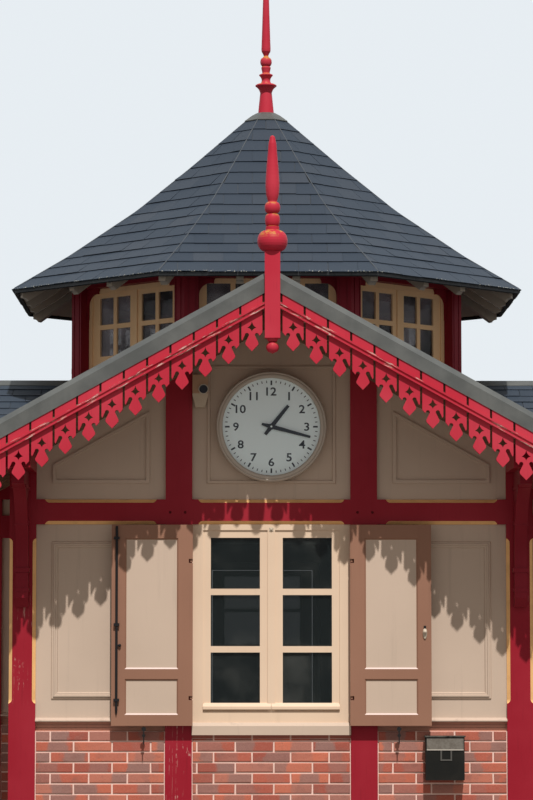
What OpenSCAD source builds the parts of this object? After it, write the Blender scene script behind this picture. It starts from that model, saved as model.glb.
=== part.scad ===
/* [Plan] */
// Width of each arm of the cross, over its walls
bay_w = 3140; // [2600:10:3800]
// Length of each arm, from the crossing to its gable wall
arm_len = 2100; // [1700:10:2800]
// Depth of the timber walls
wall_t = 160; // [140:5:200]
// Face width of every post
post_w = 160; // [130:5:180]
// Clear width of the window and door bays
window_w = 950; // [780:10:1140]
// Width of the narrow bay beside the crossing
narrow_bay = 200; // [120:10:320]

/* [Levels] */
// Height of the brick base
brick_h = 1084; // [900:4:1300]
// Top of the window sill
sill_z = 1136; // [1080:4:1250]
// Underside of the middle rail
rail_z = 2320; // [2200:10:2500]
// Height of the middle rail
rail_h = 150; // [120:5:180]
// Top of the roof at the front and back ridges
ridge_main_z = 3730; // [3600:10:4500]
// Top of the roof at the left and right ridges
ridge_side_z = 3500; // [3350:10:3700]
// Top of the roof at the eaves
eave_z = 2609; // [2550:1:2700]
// Thickness of the floor
floor_t = 120; // [80:5:160]

/* [Roofs] */
// How far the eaves stand out from the side walls
eave_overhang = 450; // [300:10:600]
// How far the gables stand out from the end walls
gable_overhang = 650; // [450:10:800]
// Upright thickness of the slate roofs with their boards
roof_t = 70; // [50:5:90]
// Depth of the common rafters
rafter_h = 90; // [70:5:110]
// Width of the rafters
rafter_w = 60; // [50:5:80]
// Depth of the ridge beams and of the gable rafters
ridge_beam_h = 140; // [120:5:180]
// Depth of the wall plates at the wall's face
plate_h = 160; // [120:5:180]
// Height of the zinc on each verge
verge_h = 75; // [60:1:110]
// How far the zinc ridges and verges stand over the roof
zinc_rise = 12; // [8:1:25]

/* [Timber] */
// Width of the stop-chamfers on the corner posts and the rails
chamfer_w = 20; // [10:1:26]
// Height of the moulded bars over the bricks
bar_zone = 81; // [66:1:98]

/* [Bargeboards] */
// Distance from one board to the next
board_pitch = 135.5; // [112:0.5:165]
// Gap between two boards
board_gap = 13; // [8:1:20]
// Thickness of the boards
board_t = 24; // [18:1:30]
// Gap between the finial's shaft and the first board
shaft_gap = 13.75; // [5:0.25:30]
// Height of the pendants' tips under the zinc
board_drop = 300; // [260:5:340]
// Height of the moulded batten
batten_h = 40; // [28:1:50]
// Drop from the zinc to the batten
batten_drop = 54; // [40:1:70]

/* [Windows] */
// Face width of the fixed window frame
frame_w = 66; // [50:1:80]
// Face width of a casement's stiles and rails
stile_w = 46; // [40:1:60]
// Height of a glazing bar
bar_h = 38; // [25:1:45]

/* [Shutters] */
// Thickness of a shutter
leaf_t = 32; // [28:1:40]
// Gap behind a shutter that is folded back
leaf_standoff = 27; // [25:1:40]
// Bottom of the shutters
leaf_z = 1118; // [1080:2:1180]
// Width of a shutter's stile on the hinges
leaf_stile = 95; // [70:1:110]

/* [Clock] */
// Height of the middle of the clock
clock_z = 2907; // [2850:1:2950]
// Outer radius of the clock's rim
clock_r = 320; // [260:5:340]
// Width of the clock's rim
clock_rim = 26; // [18:1:40]
// Hour shown by the clock
clock_hour = 1; // [0:1:11]
// Minute shown by the clock
clock_minute = 17.5; // [0:0.5:59.5]

/* [Lantern] */
// How far the lantern's walls stand inside the crossing beams
lantern_inset = 45; // [20:5:120]
// Thickness of the lantern's walls
lantern_t = 120; // [90:5:150]
// Width of each lantern post on each face
lantern_post = 95; // [75:5:125]
// Underside of the lantern's head over the front and back ridges
lantern_head_rise = 364; // [300:2:440]
// Rise of the sills of the four slanting lantern windows over the roofs at their corners
lantern_sill_rise = 54; // [50:1:80]
// How far the lantern's eave stands out from its walls
lantern_eave = 391; // [300:5:450]
// Thickness of the lantern's slates and boards
lantern_roof_t = 22; // [18:1:30]

/* [Finials] */
// Side of the square shaft on each gable
shaft_w = 90; // [80:5:120]
// Top of the square shafts over the ridge
shaft_rise = 156; // [120:2:200]
// Length of the square shafts
shaft_l = 510; // [420:5:560]

/* [Hidden] */

// Arms of the cross, counted from the front towards the right
FRONT = 0;
RIGHT = 1;
BACK = 2;
LEFT = 3;
ARMS = [FRONT, RIGHT, BACK, LEFT];
WINDOW_ARMS = [FRONT, RIGHT, LEFT];
SIDE_ARMS = [RIGHT, LEFT];

half_w = bay_w / 2;
wall_y = half_w + arm_len;
inner_half = half_w - wall_t;
window_half = window_w / 2;
rail_top = rail_z + rail_h;
eave_half = half_w + eave_overhang;
gable_front = wall_y + gable_overhang;
roof_end = gable_front - board_t;
tall = 8000;
fit = 0.3;
round_fn = 48;

// Height of the roof's top over a place across an arm
function ridge_z(arm) = arm % 2 == 0 ? ridge_main_z : ridge_side_z;
function slope(arm) = (ridge_z(arm) - eave_z) / eave_half;
function roof_z(arm, x) = ridge_z(arm) - slope(arm) * abs(x);
function across(arm) = arm + 1;

// Underside of the gable rafters and bottom of the wall plates
gable_drop = roof_t + fit + ridge_beam_h;
function plate_z(arm) = roof_z(arm, half_w) - roof_t - plate_h;

// Place of the valley across an arm, at a distance from the middle
function valley_x(arm, d) = (ridge_z(arm) - ridge_z(across(arm)) + slope(across(arm)) * d) / slope(arm);

// Bays of the side walls, from the gable wall to the crossing
side_bay = (arm_len - wall_t - narrow_bay - 2 * post_w) / 2;
SIDE_BAYS = [
    [half_w, half_w + narrow_bay],
    [half_w + narrow_bay + post_w, half_w + narrow_bay + post_w + side_bay],
    [half_w + narrow_bay + 2 * post_w + side_bay, wall_y - wall_t]
];
end_bay_x0 = window_half + post_w;
end_bay_x1 = half_w - post_w;

module arm(i) {
    rotate([0, 0, 90 * i]) children();
}

module both_sides() {
    children();
    mirror([1, 0, 0]) children();
}

// Extrudes a front view from one distance out along an arm to another
module along_arm(y0, y1) {
    translate([0, -y0, 0]) rotate([90, 0, 0]) linear_extrude(y1 - y0) children();
}

// Puts a front view on the gable wall, from a depth behind its face to another
module on_gable(depth0, depth1) {
    along_arm(wall_y - depth1, wall_y - depth0) children();
}

// Puts a view of a side wall on it, drawn with the distance along the arm and the height
module on_side(depth0, depth1) {
    translate([half_w - depth0, 0, 0]) rotate([90, 0, -90]) linear_extrude(depth1 - depth0) children();
}

// Stands a solid that was drawn lying flat on the gable wall, at a depth, so that it rises outwards
module off_gable(depth) {
    translate([0, depth - wall_y, 0]) rotate([90, 0, 0]) children();
}

// The same on a side wall, drawn with the distance along the arm and the height
module off_side(depth) {
    translate([half_w - depth, 0, 0]) rotate([90, 0, 90]) mirror([1, 0, 0]) children();
}

module box_2d(x0, x1, z0, z1) {
    translate([x0, z0]) square([x1 - x0, z1 - z0]);
}

// Side view of a block whose sides slope in by a bevel, run on past its top and bottom
module sloped_sides(a, b, h, bevel, over) {
    slip = bevel * over / h;
    polygon([
        [a - slip, -over], [b + slip, -over], [b - bevel - slip, h + over], [a + bevel + slip, h + over]
    ]);
}

// A flat block whose four sides slope in by a bevel, or out where it is negative
module bevelled_block(x0, x1, y0, y1, h, bevel, over = 0) {
    grow = max(0, -bevel) + over;
    intersection() {
        translate([0, y1 + grow, 0]) rotate([90, 0, 0]) linear_extrude(y1 - y0 + 2 * grow) {
            sloped_sides(x0, x1, h, bevel, over);
        }
        translate([x0 - grow, 0, 0]) rotate([90, 0, 90]) linear_extrude(x1 - x0 + 2 * grow) {
            sloped_sides(y0, y1, h, bevel, over);
        }
    }
}

// A flat ring around a rectangle, with both its edges bevelled
module bevelled_ring(x0, x1, y0, y1, width, h, bevel) {
    difference() {
        bevelled_block(x0, x1, y0, y1, h, bevel);
        bevelled_block(x0 + width, x1 - width, y0 + width, y1 - width, h, -bevel, 1);
    }
}

// A band under the roof's top, over both slopes
module roof_band(arm, top, bottom, half) {
    polygon([
        [-half, roof_z(arm, half) - top], [0, ridge_z(arm) - top], [half, roof_z(arm, half) - top],
        [half, roof_z(arm, half) - bottom], [0, ridge_z(arm) - bottom], [-half, roof_z(arm, half) - bottom]
    ]);
}

// The same band on one slope only, from one place across to another
module slope_band(arm, top, bottom, x0, x1) {
    polygon([
        [x0, roof_z(arm, x0) - top], [x1, roof_z(arm, x1) - top],
        [x1, roof_z(arm, x1) - bottom], [x0, roof_z(arm, x0) - bottom]
    ]);
}

// What lies under the roof by a drop, from one place across to another
module under_roof(arm, drop, x0, x1, z0) {
    peak = x0 < 0 && x1 > 0 ? [[0, ridge_z(arm) - drop]] : [];
    polygon(concat(
        [[x0, z0], [x1, z0], [x1, roof_z(arm, x1) - drop]], peak, [[x0, roof_z(arm, x0) - drop]]
    ));
}

// Floor and brick base

module floor_slab() {
    color("gray") linear_extrude(floor_t) {
        square([2 * inner_half, 2 * (wall_y - wall_t)], center = true);
        square([2 * (wall_y - wall_t), 2 * inner_half], center = true);
    }
}

brick_setback = 10;

module brickwork() {
    color("sienna") for (i = ARMS) arm(i) {
        both_sides() on_gable(brick_setback, wall_t) box_2d(end_bay_x0, end_bay_x1, 0, brick_h);
        if (i != BACK) on_gable(brick_setback, wall_t) box_2d(-window_half, window_half, 0, sill_z - sill_h);
        both_sides() for (bay = SIDE_BAYS) on_side(brick_setback, wall_t) box_2d(bay[0], bay[1], 0, brick_h);
    }
}

// Timber frame

chamfer_stop_r = 30;
post_stop = 79;

// Cutter for a stop-chamfer along the X axis, in wood that lies towards +Y of the edge
module chamfer_cut(length) {
    depth = chamfer_w / sqrt(2);
    r = chamfer_stop_r;
    translate([0, 0, -chamfer_w]) linear_extrude(2 * chamfer_w) {
        box_2d(r, length - r, -chamfer_w, depth);
        for (x = [r, length - r]) translate([x, depth - r]) circle(r = r, $fn = round_fn);
    }
}

module post_chamfer(x, y, turn) {
    z = panel_z0 + post_stop;
    translate([x, y, z]) rotate([0, 0, turn]) rotate([0, -90, 0]) chamfer_cut(rail_z - post_stop - z);
}

module corner_posts() {
    color("firebrick") for (i = ARMS) arm(i) {
        both_sides() translate([half_w - post_w, -wall_y, 0]) difference() {
            cube([post_w, wall_t, plate_z(i)]);
            post_chamfer(0, 0, -45);
            post_chamfer(post_w, 0, 45);
            post_chamfer(post_w, wall_t, 135);
        }
        translate([half_w - wall_t, -half_w, 0]) cube([wall_t, wall_t, plate_z(FRONT)]);
    }
}

module wall_posts() {
    color("firebrick") for (i = ARMS) arm(i) both_sides() {
        on_gable(0, wall_t) under_roof(i, gable_drop + fit, window_half, window_half + post_w, 0);
        for (bay = [SIDE_BAYS[0], SIDE_BAYS[1]]) {
            on_side(0, wall_t) box_2d(bay[1], bay[1] + post_w, 0, plate_z(i));
        }
    }
}

rail_stop = 48;
centre_rail_stop = 32;

// A rail drawn from the origin along X, with its front face on Y = 0 and its long front edges chamfered
module rail(length, stop) {
    difference() {
        cube([length, wall_t, rail_h]);
        if (length > 5 * stop) translate([stop, 0, 0]) {
            rotate([45, 0, 0]) chamfer_cut(length - 2 * stop);
            translate([0, 0, rail_h]) rotate([-45, 0, 0]) chamfer_cut(length - 2 * stop);
        }
    }
}

module rails() {
    color("firebrick") for (i = ARMS) arm(i) {
        translate([-window_half, -wall_y, rail_z]) rail(window_w, centre_rail_stop);
        both_sides() {
            translate([end_bay_x0, -wall_y, rail_z]) rail(end_bay_x1 - end_bay_x0, rail_stop);
            for (bay = SIDE_BAYS) {
                translate([half_w, -bay[1], rail_z]) rotate([0, 0, 90]) rail(bay[1] - bay[0], rail_stop);
            }
        }
    }
}

// Wall plates run on past the gable wall to carry the overhang
barge_rafter_w = 60;
plate_end = roof_end - barge_rafter_w;
function plate_start(arm) = arm % 2 == 0 ? inner_half : half_w + fit;

module wall_plates() {
    color("firebrick") for (i = ARMS) arm(i) both_sides() along_arm(plate_start(i), plate_end) {
        under_roof(i, roof_t + fit, inner_half, half_w, plate_z(i));
    }
}

ridge_beam_w = 60;
tail_inset = 40;
beam_z = 2560;
beam_h = 200;
shaft_setback = 10;
finial_y = gable_front - shaft_setback;
shaft_back = finial_y - shaft_w / 2;

module ridge_beam(arm) {
    along_arm(drum_a, shaft_back) {
        under_roof(arm, roof_t + fit, -ridge_beam_w / 2, ridge_beam_w / 2, ridge_z(arm) - gable_drop);
    }
}

module roof_beams() {
    color("saddlebrown") for (i = ARMS) arm(i) {
        ridge_beam(i);
        along_arm(inner_half, half_w) box_2d(-inner_half, inner_half, beam_z, beam_z + beam_h);
    }
}

// Common rafters stand between the drum and the gable wall, evenly spaced
rafter_count = 4;
first_rafter = 100;
rafter_y0 = half_w + first_rafter;
rafter_step = (wall_y - wall_t - rafter_y0) / rafter_count;
barge_rafter_h = 110;

module rafters() {
    x_ridge = ridge_beam_w / 2;
    top = roof_t + fit;
    color("saddlebrown") for (i = ARMS) arm(i) both_sides() {
        for (k = [0:rafter_count - 1]) {
            y = rafter_y0 + k * rafter_step;
            along_arm(y, y + rafter_w) {
                slope_band(i, top, top + rafter_h, x_ridge, inner_half);
                if (y > eave_half) slope_band(i, top, top + rafter_h, half_w, eave_half - tail_inset);
            }
        }
        on_gable(0, wall_t) slope_band(i, top, gable_drop, x_ridge, inner_half);
        along_arm(plate_end, roof_end) slope_band(i, top, top + barge_rafter_h, shaft_w / 2, eave_half);
    }
}

// Panels of the walls, with a raised moulding inside each

panel_setback = 25;
panel_back = 145;
panel_z0 = brick_h + bar_zone;

bar_back = 60;
bar_nose = 8;
bar_nose_z = 56;
bar_edge = 4;
bar_slope_h = 16;
bar_recess = 28;
bar_groove = 4;
BAR_GROOVES = [20, 37];

// A moulded bar over the bricks, drawn along X with the wall's face on Y = 0: a nose, and two grooves in the
// recess under it
module weather_bar(length) {
    rotate([90, 0, 90]) linear_extrude(length) difference() {
        polygon([
            [bar_back, 0], [bar_back, bar_zone], [panel_setback, bar_zone], [-bar_nose, bar_zone - bar_slope_h],
            [-bar_nose, bar_nose_z + bar_edge], [-bar_nose / 2, bar_nose_z], [bar_recess, bar_nose_z],
            [bar_recess, 0]
        ]);
        for (z = BAR_GROOVES) translate([bar_recess - 1, z]) square([bar_groove + 1, bar_groove]);
    }
}

module weather_bars() {
    color("rosybrown") for (i = ARMS) arm(i) both_sides() {
        translate([end_bay_x0, -wall_y, brick_h]) weather_bar(end_bay_x1 - end_bay_x0);
        for (bay = SIDE_BAYS) {
            start = max(bay[0], half_w + bar_nose + fit);
            translate([half_w, -bay[1], brick_h]) rotate([0, 0, 90]) weather_bar(bay[1] - start);
        }
    }
}

// Distances of the mouldings from the edges of a lower panel
mould_side = 92;
mould_top = 102;
mould_bottom = 111;
mould_w = 40;
mould_t = 8;
bead_inset = 10;
bead_w = 18;
bead_t = 15;

// Broad moulding with a bead on it, lying flat
module broad_moulding(x0, x1, z0, z1) {
    bevelled_ring(x0, x1, z0, z1, mould_w, mould_t, mould_t / 2);
    bevelled_ring(x0 + bead_inset, x1 - bead_inset, z0 + bead_inset, z1 - bead_inset, bead_w, bead_t, 5);
}

module panel_moulding(x0, x1) {
    broad_moulding(x0 + mould_side, x1 - mould_side, panel_z0 + mould_bottom, rail_z - mould_top);
}

// Thin mouldings of the gable panels, which follow the roof beside the window posts
gable_inset = 97;
centre_inset = 88;
centre_bottom = 95;
centre_clearance = 28;
thin_w = 20;
thin_t = 12;

moulding_least = 2;

// A gable panel less an inset, which ends where the roof comes down to it
module inset_gable(arm, x0, x1, z0, inset) {
    drop = gable_drop + inset * sqrt(1 + slope(arm) * slope(arm));
    end_x = (ridge_z(arm) - drop - z0 - inset - moulding_least) / slope(arm);
    under_roof(arm, drop, x0 + inset, min(x1 - inset, end_x), z0 + inset);
}

module gable_moulding(arm, x0, x1, z0) {
    difference() {
        inset_gable(arm, x0, x1, z0, gable_inset);
        inset_gable(arm, x0, x1, z0, gable_inset + thin_w);
    }
}

clock_clearance = 5;
centre_half = max(window_half - centre_inset, clock_r + thin_w + clock_clearance);

module centre_moulding(arm) {
    top = roof_z(arm, centre_half) - gable_drop - centre_clearance;
    bevelled_ring(-centre_half, centre_half, rail_top + centre_bottom, top, thin_w, thin_t, 3);
}

module gable_panel(arm, x0, x1) {
    on_gable(panel_setback, panel_back) under_roof(arm, gable_drop + fit, x0, x1, rail_top);
}

module wall_panels() {
    color("tan") for (i = ARMS) arm(i) {
        gable_panel(i, -window_half, window_half);
        off_gable(panel_setback) centre_moulding(i);
        both_sides() {
            on_gable(panel_setback, panel_back) box_2d(end_bay_x0, end_bay_x1, panel_z0, rail_z);
            off_gable(panel_setback) panel_moulding(end_bay_x0, end_bay_x1);
            gable_panel(i, end_bay_x0, inner_half);
            on_gable(panel_setback - thin_t, panel_setback) {
                gable_moulding(i, end_bay_x0, inner_half, rail_top);
            }
            for (bay = SIDE_BAYS) {
                on_side(panel_setback, panel_back) {
                    box_2d(bay[0], bay[1], panel_z0, rail_z);
                    box_2d(bay[0], bay[1], rail_top, plate_z(i));
                }
                if (bay[1] - bay[0] > 4 * mould_side) off_side(panel_setback) panel_moulding(bay[0], bay[1]);
            }
        }
    }
}

// Windows, with two casements of three panes each

sill_h = 94;
sill_out = 18;
sill_edge = 20;
sill_depth = 130;
frame_front = 12;
frame_depth = 80;
frame_head = 34;
casement_front = 20;
casement_t = 44;
glass_front = 14;
glass_t = 4;
pane_rows = 3;
astragal_w = 45;
glass_lap = 10;

frame_in_x = window_half - frame_w;
frame_in_z0 = sill_z + frame_w;
frame_in_z1 = rail_z - frame_head;
casement_w = frame_in_x - astragal_w / 2;
casement_h = frame_in_z1 - frame_in_z0;
pane_w = casement_w - 2 * stile_w;
pane_h = (casement_h - 2 * stile_w - (pane_rows - 1) * bar_h) / pane_rows;

module window_frames() {
    color("wheat") for (i = WINDOW_ARMS) arm(i) on_gable(frame_front, frame_front + frame_depth) {
        difference() {
            box_2d(-window_half, window_half, sill_z, rail_z);
            box_2d(-frame_in_x, -astragal_w / 2, frame_in_z0, frame_in_z1);
            box_2d(astragal_w / 2, frame_in_x, frame_in_z0, frame_in_z1);
        }
    }
}

module casement(x0) {
    on_gable(casement_front, casement_front + glass_front) difference() {
        box_2d(x0, x0 + casement_w, frame_in_z0, frame_in_z1);
        for (row = [0:pane_rows - 1]) {
            z = frame_in_z0 + stile_w + row * (pane_h + bar_h);
            box_2d(x0 + stile_w, x0 + stile_w + pane_w, z, z + pane_h);
        }
    }
    on_gable(casement_front + glass_front, casement_front + casement_t) difference() {
        box_2d(x0, x0 + casement_w, frame_in_z0, frame_in_z1);
        box_2d(x0 + stile_w - glass_lap, x0 + casement_w - stile_w + glass_lap,
            frame_in_z0 + stile_w - glass_lap, frame_in_z1 - stile_w + glass_lap);
    }
}

drip_rise = 8;
drip_h = 43;
drip_out = 2;
drip_end_r = 14;
casement_gap = 3;

// A drip along the bottom of both casements, rounded at its ends
module drip_strip() {
    half = frame_in_x - fit;
    translate([0, 0, frame_in_z0 + drip_rise]) intersection() {
        translate([-half, -wall_y, 0]) rotate([90, 0, 90]) linear_extrude(2 * half) polygon([
            [casement_front, 0], [casement_front, drip_h], [drip_h / 4, drip_h * 0.9],
            [-drip_out, drip_h / 2], [-drip_out, drip_h / 8], [drip_out, 0]
        ]);
        on_gable(-drip_out, casement_front) {
            box_2d(-half, half, 0, drip_h - drip_end_r);
            box_2d(-half + drip_end_r, half - drip_end_r, 0, drip_h);
            both_sides() translate([half - drip_end_r, drip_h - drip_end_r]) {
                circle(r = drip_end_r, $fn = round_fn);
            }
        }
    }
}

module window_casements() {
    astragal = astragal_w / 2 + fit;
    color("wheat") for (i = WINDOW_ARMS) arm(i) {
        casement(-frame_in_x);
        casement(astragal_w / 2);
        difference() {
            drip_strip();
            on_gable(-drip_out - 1, casement_front + 1) {
                box_2d(-casement_gap / 2, casement_gap / 2, sill_z, rail_z);
            }
            on_gable(frame_front - fit, casement_front + 1) box_2d(-astragal, astragal, sill_z, rail_z);
        }
    }
}

module window_glass() {
    lap = glass_lap - fit;
    depth = casement_front + glass_front;
    color("lightblue") for (i = WINDOW_ARMS, x0 = [-frame_in_x, astragal_w / 2]) arm(i) {
        on_gable(depth, depth + glass_t) box_2d(x0 + stile_w - lap, x0 + casement_w - stile_w + lap,
            frame_in_z0 + stile_w - lap, frame_in_z1 - stile_w + lap);
    }
}

module window_sills() {
    color("tan") for (i = WINDOW_ARMS) arm(i) translate([-window_half, -wall_y, sill_z - sill_h]) {
        rotate([90, 0, 90]) linear_extrude(window_w) polygon([
            [brick_setback, 0], [sill_depth, 0], [sill_depth, sill_h], [0, sill_h],
            [-sill_out, sill_h - sill_edge], [-sill_out, sill_edge], [brick_setback, sill_edge]
        ]);
    }
}

// Entrance at the back

door_jamb = 60;
door_head = 60;
door_gap = 4;
door_leaf_t = 50;
door_depth = 30;
threshold_h = 130;

module door_frame() {
    color("wheat") arm(BACK) on_gable(frame_front, frame_front + frame_depth) difference() {
        box_2d(-window_half, window_half, 0, rail_z);
        box_2d(-window_half + door_jamb, window_half - door_jamb, threshold_h, rail_z - door_head);
    }
}

door_stile = 100;
door_bar = 30;
door_glass_z = 1650;
door_panel_z0 = 330;
door_panel_z1 = 1500;
door_recess = 12;

door_half = window_half - door_jamb - door_gap;
door_top = rail_z - door_head - door_gap;
door_pane_x = door_half - door_stile;
door_pane_top = door_top - door_stile / 2;

// Four panes above, two sunk panels below
module entrance_door() {
    pane_mid = (door_glass_z + door_pane_top) / 2;
    glass_depth = door_depth + glass_front;
    color("saddlebrown") arm(BACK) difference() {
        on_gable(door_depth, door_depth + door_leaf_t) {
            box_2d(-door_half, door_half, threshold_h + fit, door_top);
        }
        both_sides() on_gable(door_depth - 1, glass_depth + 1) {
            box_2d(door_bar / 2, door_pane_x, door_glass_z, pane_mid - door_bar / 2);
            box_2d(door_bar / 2, door_pane_x, pane_mid + door_bar / 2, door_pane_top);
        }
        on_gable(glass_depth, door_depth + door_leaf_t + 1) {
            box_2d(-door_pane_x - glass_lap, door_pane_x + glass_lap, door_glass_z - glass_lap,
                door_pane_top + glass_lap);
        }
        both_sides() on_gable(door_depth - 1, door_depth + door_recess) {
            box_2d(door_stile / 2, door_pane_x, door_panel_z0, door_panel_z1);
        }
    }
}

module door_glass() {
    depth = door_depth + glass_front;
    lap = glass_lap - fit;
    color("lightblue") arm(BACK) on_gable(depth, depth + glass_t) {
        box_2d(-door_pane_x - lap, door_pane_x + lap, door_glass_z - lap, door_pane_top + lap);
    }
}

// Roofs of the arms

valley_gap = 8;
drum_a = inner_half - lantern_inset;
drum_clearance = 5;
valley_least = 30;

// Distance from the middle where an arm's roof starts, with its valleys clear of its ridge
function plan_start(arm) = max(drum_a / 2,
    (ridge_z(across(arm)) - ridge_z(arm) + slope(arm) * valley_least) / slope(across(arm)));

module octagon(apothem) {
    rotate(180 / 8) circle(r = apothem / cos(180 / 8), $fn = 8);
}

// Plan of an arm's roof, from the valleys to a distance out
module roof_plan(arm, gap, end) {
    start = plan_start(arm);
    x_start = valley_x(arm, start) - gap;
    y_corner = eave_half + gap * slope(arm) / slope(across(arm));
    polygon([
        [-eave_half, -end], [eave_half, -end], [eave_half, -y_corner], [x_start, -start],
        [-x_start, -start], [-eave_half, -y_corner]
    ]);
}

module shaft_hole() {
    translate([-shaft_w / 2, -finial_y - shaft_w / 2, 0]) cube([shaft_w, shaft_w, tall]);
}

module arm_roof(arm) {
    difference() {
        intersection() {
            along_arm(plan_start(arm), roof_end) roof_band(arm, 0, roof_t, eave_half);
            linear_extrude(tall) roof_plan(arm, valley_gap, roof_end);
        }
        linear_extrude(tall) octagon(drum_a + drum_clearance);
        shaft_hole();
    }
}

module front_roof() {
    color("slategray") arm(FRONT) arm_roof(FRONT);
}

module right_roof() {
    color("slategray") arm(RIGHT) arm_roof(RIGHT);
}

module back_roof() {
    color("slategray") arm(BACK) arm_roof(BACK);
}

module left_roof() {
    color("slategray") arm(LEFT) arm_roof(LEFT);
}

ridge_cap_half = 90;
verge_lap = 60;
verge_t = 6;

module ridge_caps() {
    color("darkgray") for (i = ARMS) arm(i) along_arm(drum_a + drum_clearance, roof_end - verge_lap) {
        roof_band(i, -zinc_rise, -fit, ridge_cap_half);
    }
}

valley_half = 110;
valley_t = 14;
valley_lap = 2;

// A strip of zinc on one slope beside the valley, just past its middle so that the two strips join
module valley_strip(arm) {
    start = plan_start(arm);
    start_x = valley_x(arm, start);
    intersection() {
        along_arm(start, roof_end) roof_band(arm, -valley_t, -fit, eave_half);
        linear_extrude(tall) polygon([
            [start_x + valley_lap, -start], [eave_half + valley_lap, -eave_half],
            [eave_half + valley_lap, -eave_half - valley_half], [start_x - valley_half, -start - valley_half]
        ]);
    }
}

module valley_gutters() {
    color("darkgray") for (i = ARMS) difference() {
        union() {
            arm(i) valley_strip(i);
            arm(i + 1) mirror([1, 0, 0]) valley_strip(i + 1);
        }
        linear_extrude(tall) octagon(drum_a + drum_clearance);
    }
}

module verge_flashings() {
    color("darkgray") for (i = ARMS) arm(i) difference() {
        union() {
            along_arm(roof_end - verge_lap, gable_front) roof_band(i, -zinc_rise, -fit, eave_half);
            along_arm(gable_front, gable_front + verge_t) {
                roof_band(i, -zinc_rise, verge_h - zinc_rise, eave_half);
            }
        }
        shaft_hole();
    }
}

// Bargeboards of upright boards, each cut to a pendant

board_w = board_pitch - board_gap;
board_first_x = shaft_w / 2 + shaft_gap + board_w / 2;
zinc_drop = verge_h - zinc_rise;
board_count = floor((eave_half - board_first_x - board_w / 2) / board_pitch) + 1;

// Cut lower end of a board, with its heights measured up from the tip of its pendant
star_half = 27;
STAR_RISE = [175, 137, 114];
star_sag = 6;
notch_x = 29;
notch_r = 12;
notch_rise = 95;
neck_rise = 100;
tooth_rise = 76;
tooth_lean = 14;
tooth_point_x = 44;
neck_half = 14;
pendant_half = 38;
pendant_rise = 46;
pendant_r = 16;

// Points along a hollow side between two corners of the star
function hollow_side(a, b) = let (out = [a.y - b.y, b.x - a.x] / norm(b - a)) [
    for (t = [0:0.25:0.75]) a + (b - a) * t - out * 4 * star_sag * t * (1 - t)
];

// Point where a line from a point touches a circle, on its left or right side
function touch_point(p, centre, r, side) = let (
    away = centre - p,
    turn = atan2(away.y, away.x) + side * asin(r / norm(away))
) p + sqrt(norm(away) ^ 2 - r * r) * [cos(turn), sin(turn)];

module star_hole() {
    top = [0, STAR_RISE[0]];
    right = [star_half, STAR_RISE[1]];
    bottom = [0, STAR_RISE[2]];
    left = [-star_half, STAR_RISE[1]];
    polygon(concat(
        hollow_side(top, right), hollow_side(right, bottom), hollow_side(bottom, left), hollow_side(left, top)
    ));
}

module pendant() {
    centre = [pendant_half - pendant_r, pendant_rise];
    upper = touch_point([neck_half, neck_rise], centre, pendant_r, 1);
    lower = touch_point([0, 0], centre, pendant_r, -1);
    polygon([
        [neck_half, notch_rise + notch_r], [neck_half, neck_rise], upper, lower, [0, 0],
        [-lower.x, lower.y], [-upper.x, upper.y], [-neck_half, neck_rise],
        [-neck_half, notch_rise + notch_r]
    ]);
    both_sides() translate(centre) circle(r = pendant_r, $fn = round_fn);
}

// One board from its tip up to the zinc, with the ridge on its left
module cut_board() {
    half = board_w / 2;
    long_tooth = tooth_rise - tooth_lean;
    short_tooth = tooth_rise + tooth_lean;
    difference() {
        union() {
            polygon([
                [-half, board_drop], [half, board_drop], [half, long_tooth + 8], [half - 5, long_tooth],
                [notch_x + notch_r, notch_rise], [-notch_x - notch_r, notch_rise],
                [-tooth_point_x, short_tooth], [-half, short_tooth + 20]
            ]);
            pendant();
        }
        both_sides() translate([notch_x, notch_rise]) circle(r = notch_r, $fn = round_fn);
        star_hole();
    }
}

// A cut board hung from the roof, with its top cut to the slope
module board(arm, x) {
    x0 = x - board_w / 2;
    x1 = x + board_w / 2;
    z = roof_z(arm, x) - zinc_drop;
    overlap = 20;
    polygon([[x0, z - overlap], [x1, z - overlap], [x1, roof_z(arm, x1)], [x0, roof_z(arm, x0)]]);
    translate([x, z - board_drop]) cut_board();
}

module gable_boards(arm) {
    both_sides() for (k = [0:board_count - 1]) {
        along_arm(roof_end, gable_front) board(arm, board_first_x + k * board_pitch);
    }
}

module front_bargeboards() {
    color("crimson") arm(FRONT) gable_boards(FRONT);
}

module back_bargeboards() {
    color("crimson") arm(BACK) gable_boards(BACK);
}

module side_bargeboards() {
    color("crimson") for (i = SIDE_ARMS) arm(i) gable_boards(i);
}

batten_t = 14;
batten_bead_t = 22;
batten_bead_h = 12;
batten_bead_inset = 3;
batten_end = 30;

// A flat strip with a bead along its top and another near its bottom
module barge_battens() {
    drop = zinc_drop + batten_drop;
    end = eave_half - batten_end;
    low = drop + batten_h - batten_bead_h - batten_bead_inset;
    color("crimson") for (i = ARMS) arm(i) both_sides() {
        along_arm(gable_front, gable_front + batten_t) slope_band(i, drop, drop + batten_h, shaft_w / 2, end);
        along_arm(gable_front, gable_front + batten_bead_t) {
            slope_band(i, drop, drop + batten_bead_h, shaft_w / 2, end);
            slope_band(i, low, low + batten_bead_h, shaft_w / 2, end);
        }
    }
}

// Gable finials, a square shaft with a turned top and a turned drop

// Outline of a turned bead or hollow between two heights, from its radius at the ends and in the middle
function bead(z0, z1, end_r, mid_r) = [
    for (a = [0:15:180]) [end_r + (mid_r - end_r) * sin(a), (z0 + z1 - (z1 - z0) * cos(a)) / 2]
];

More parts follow.
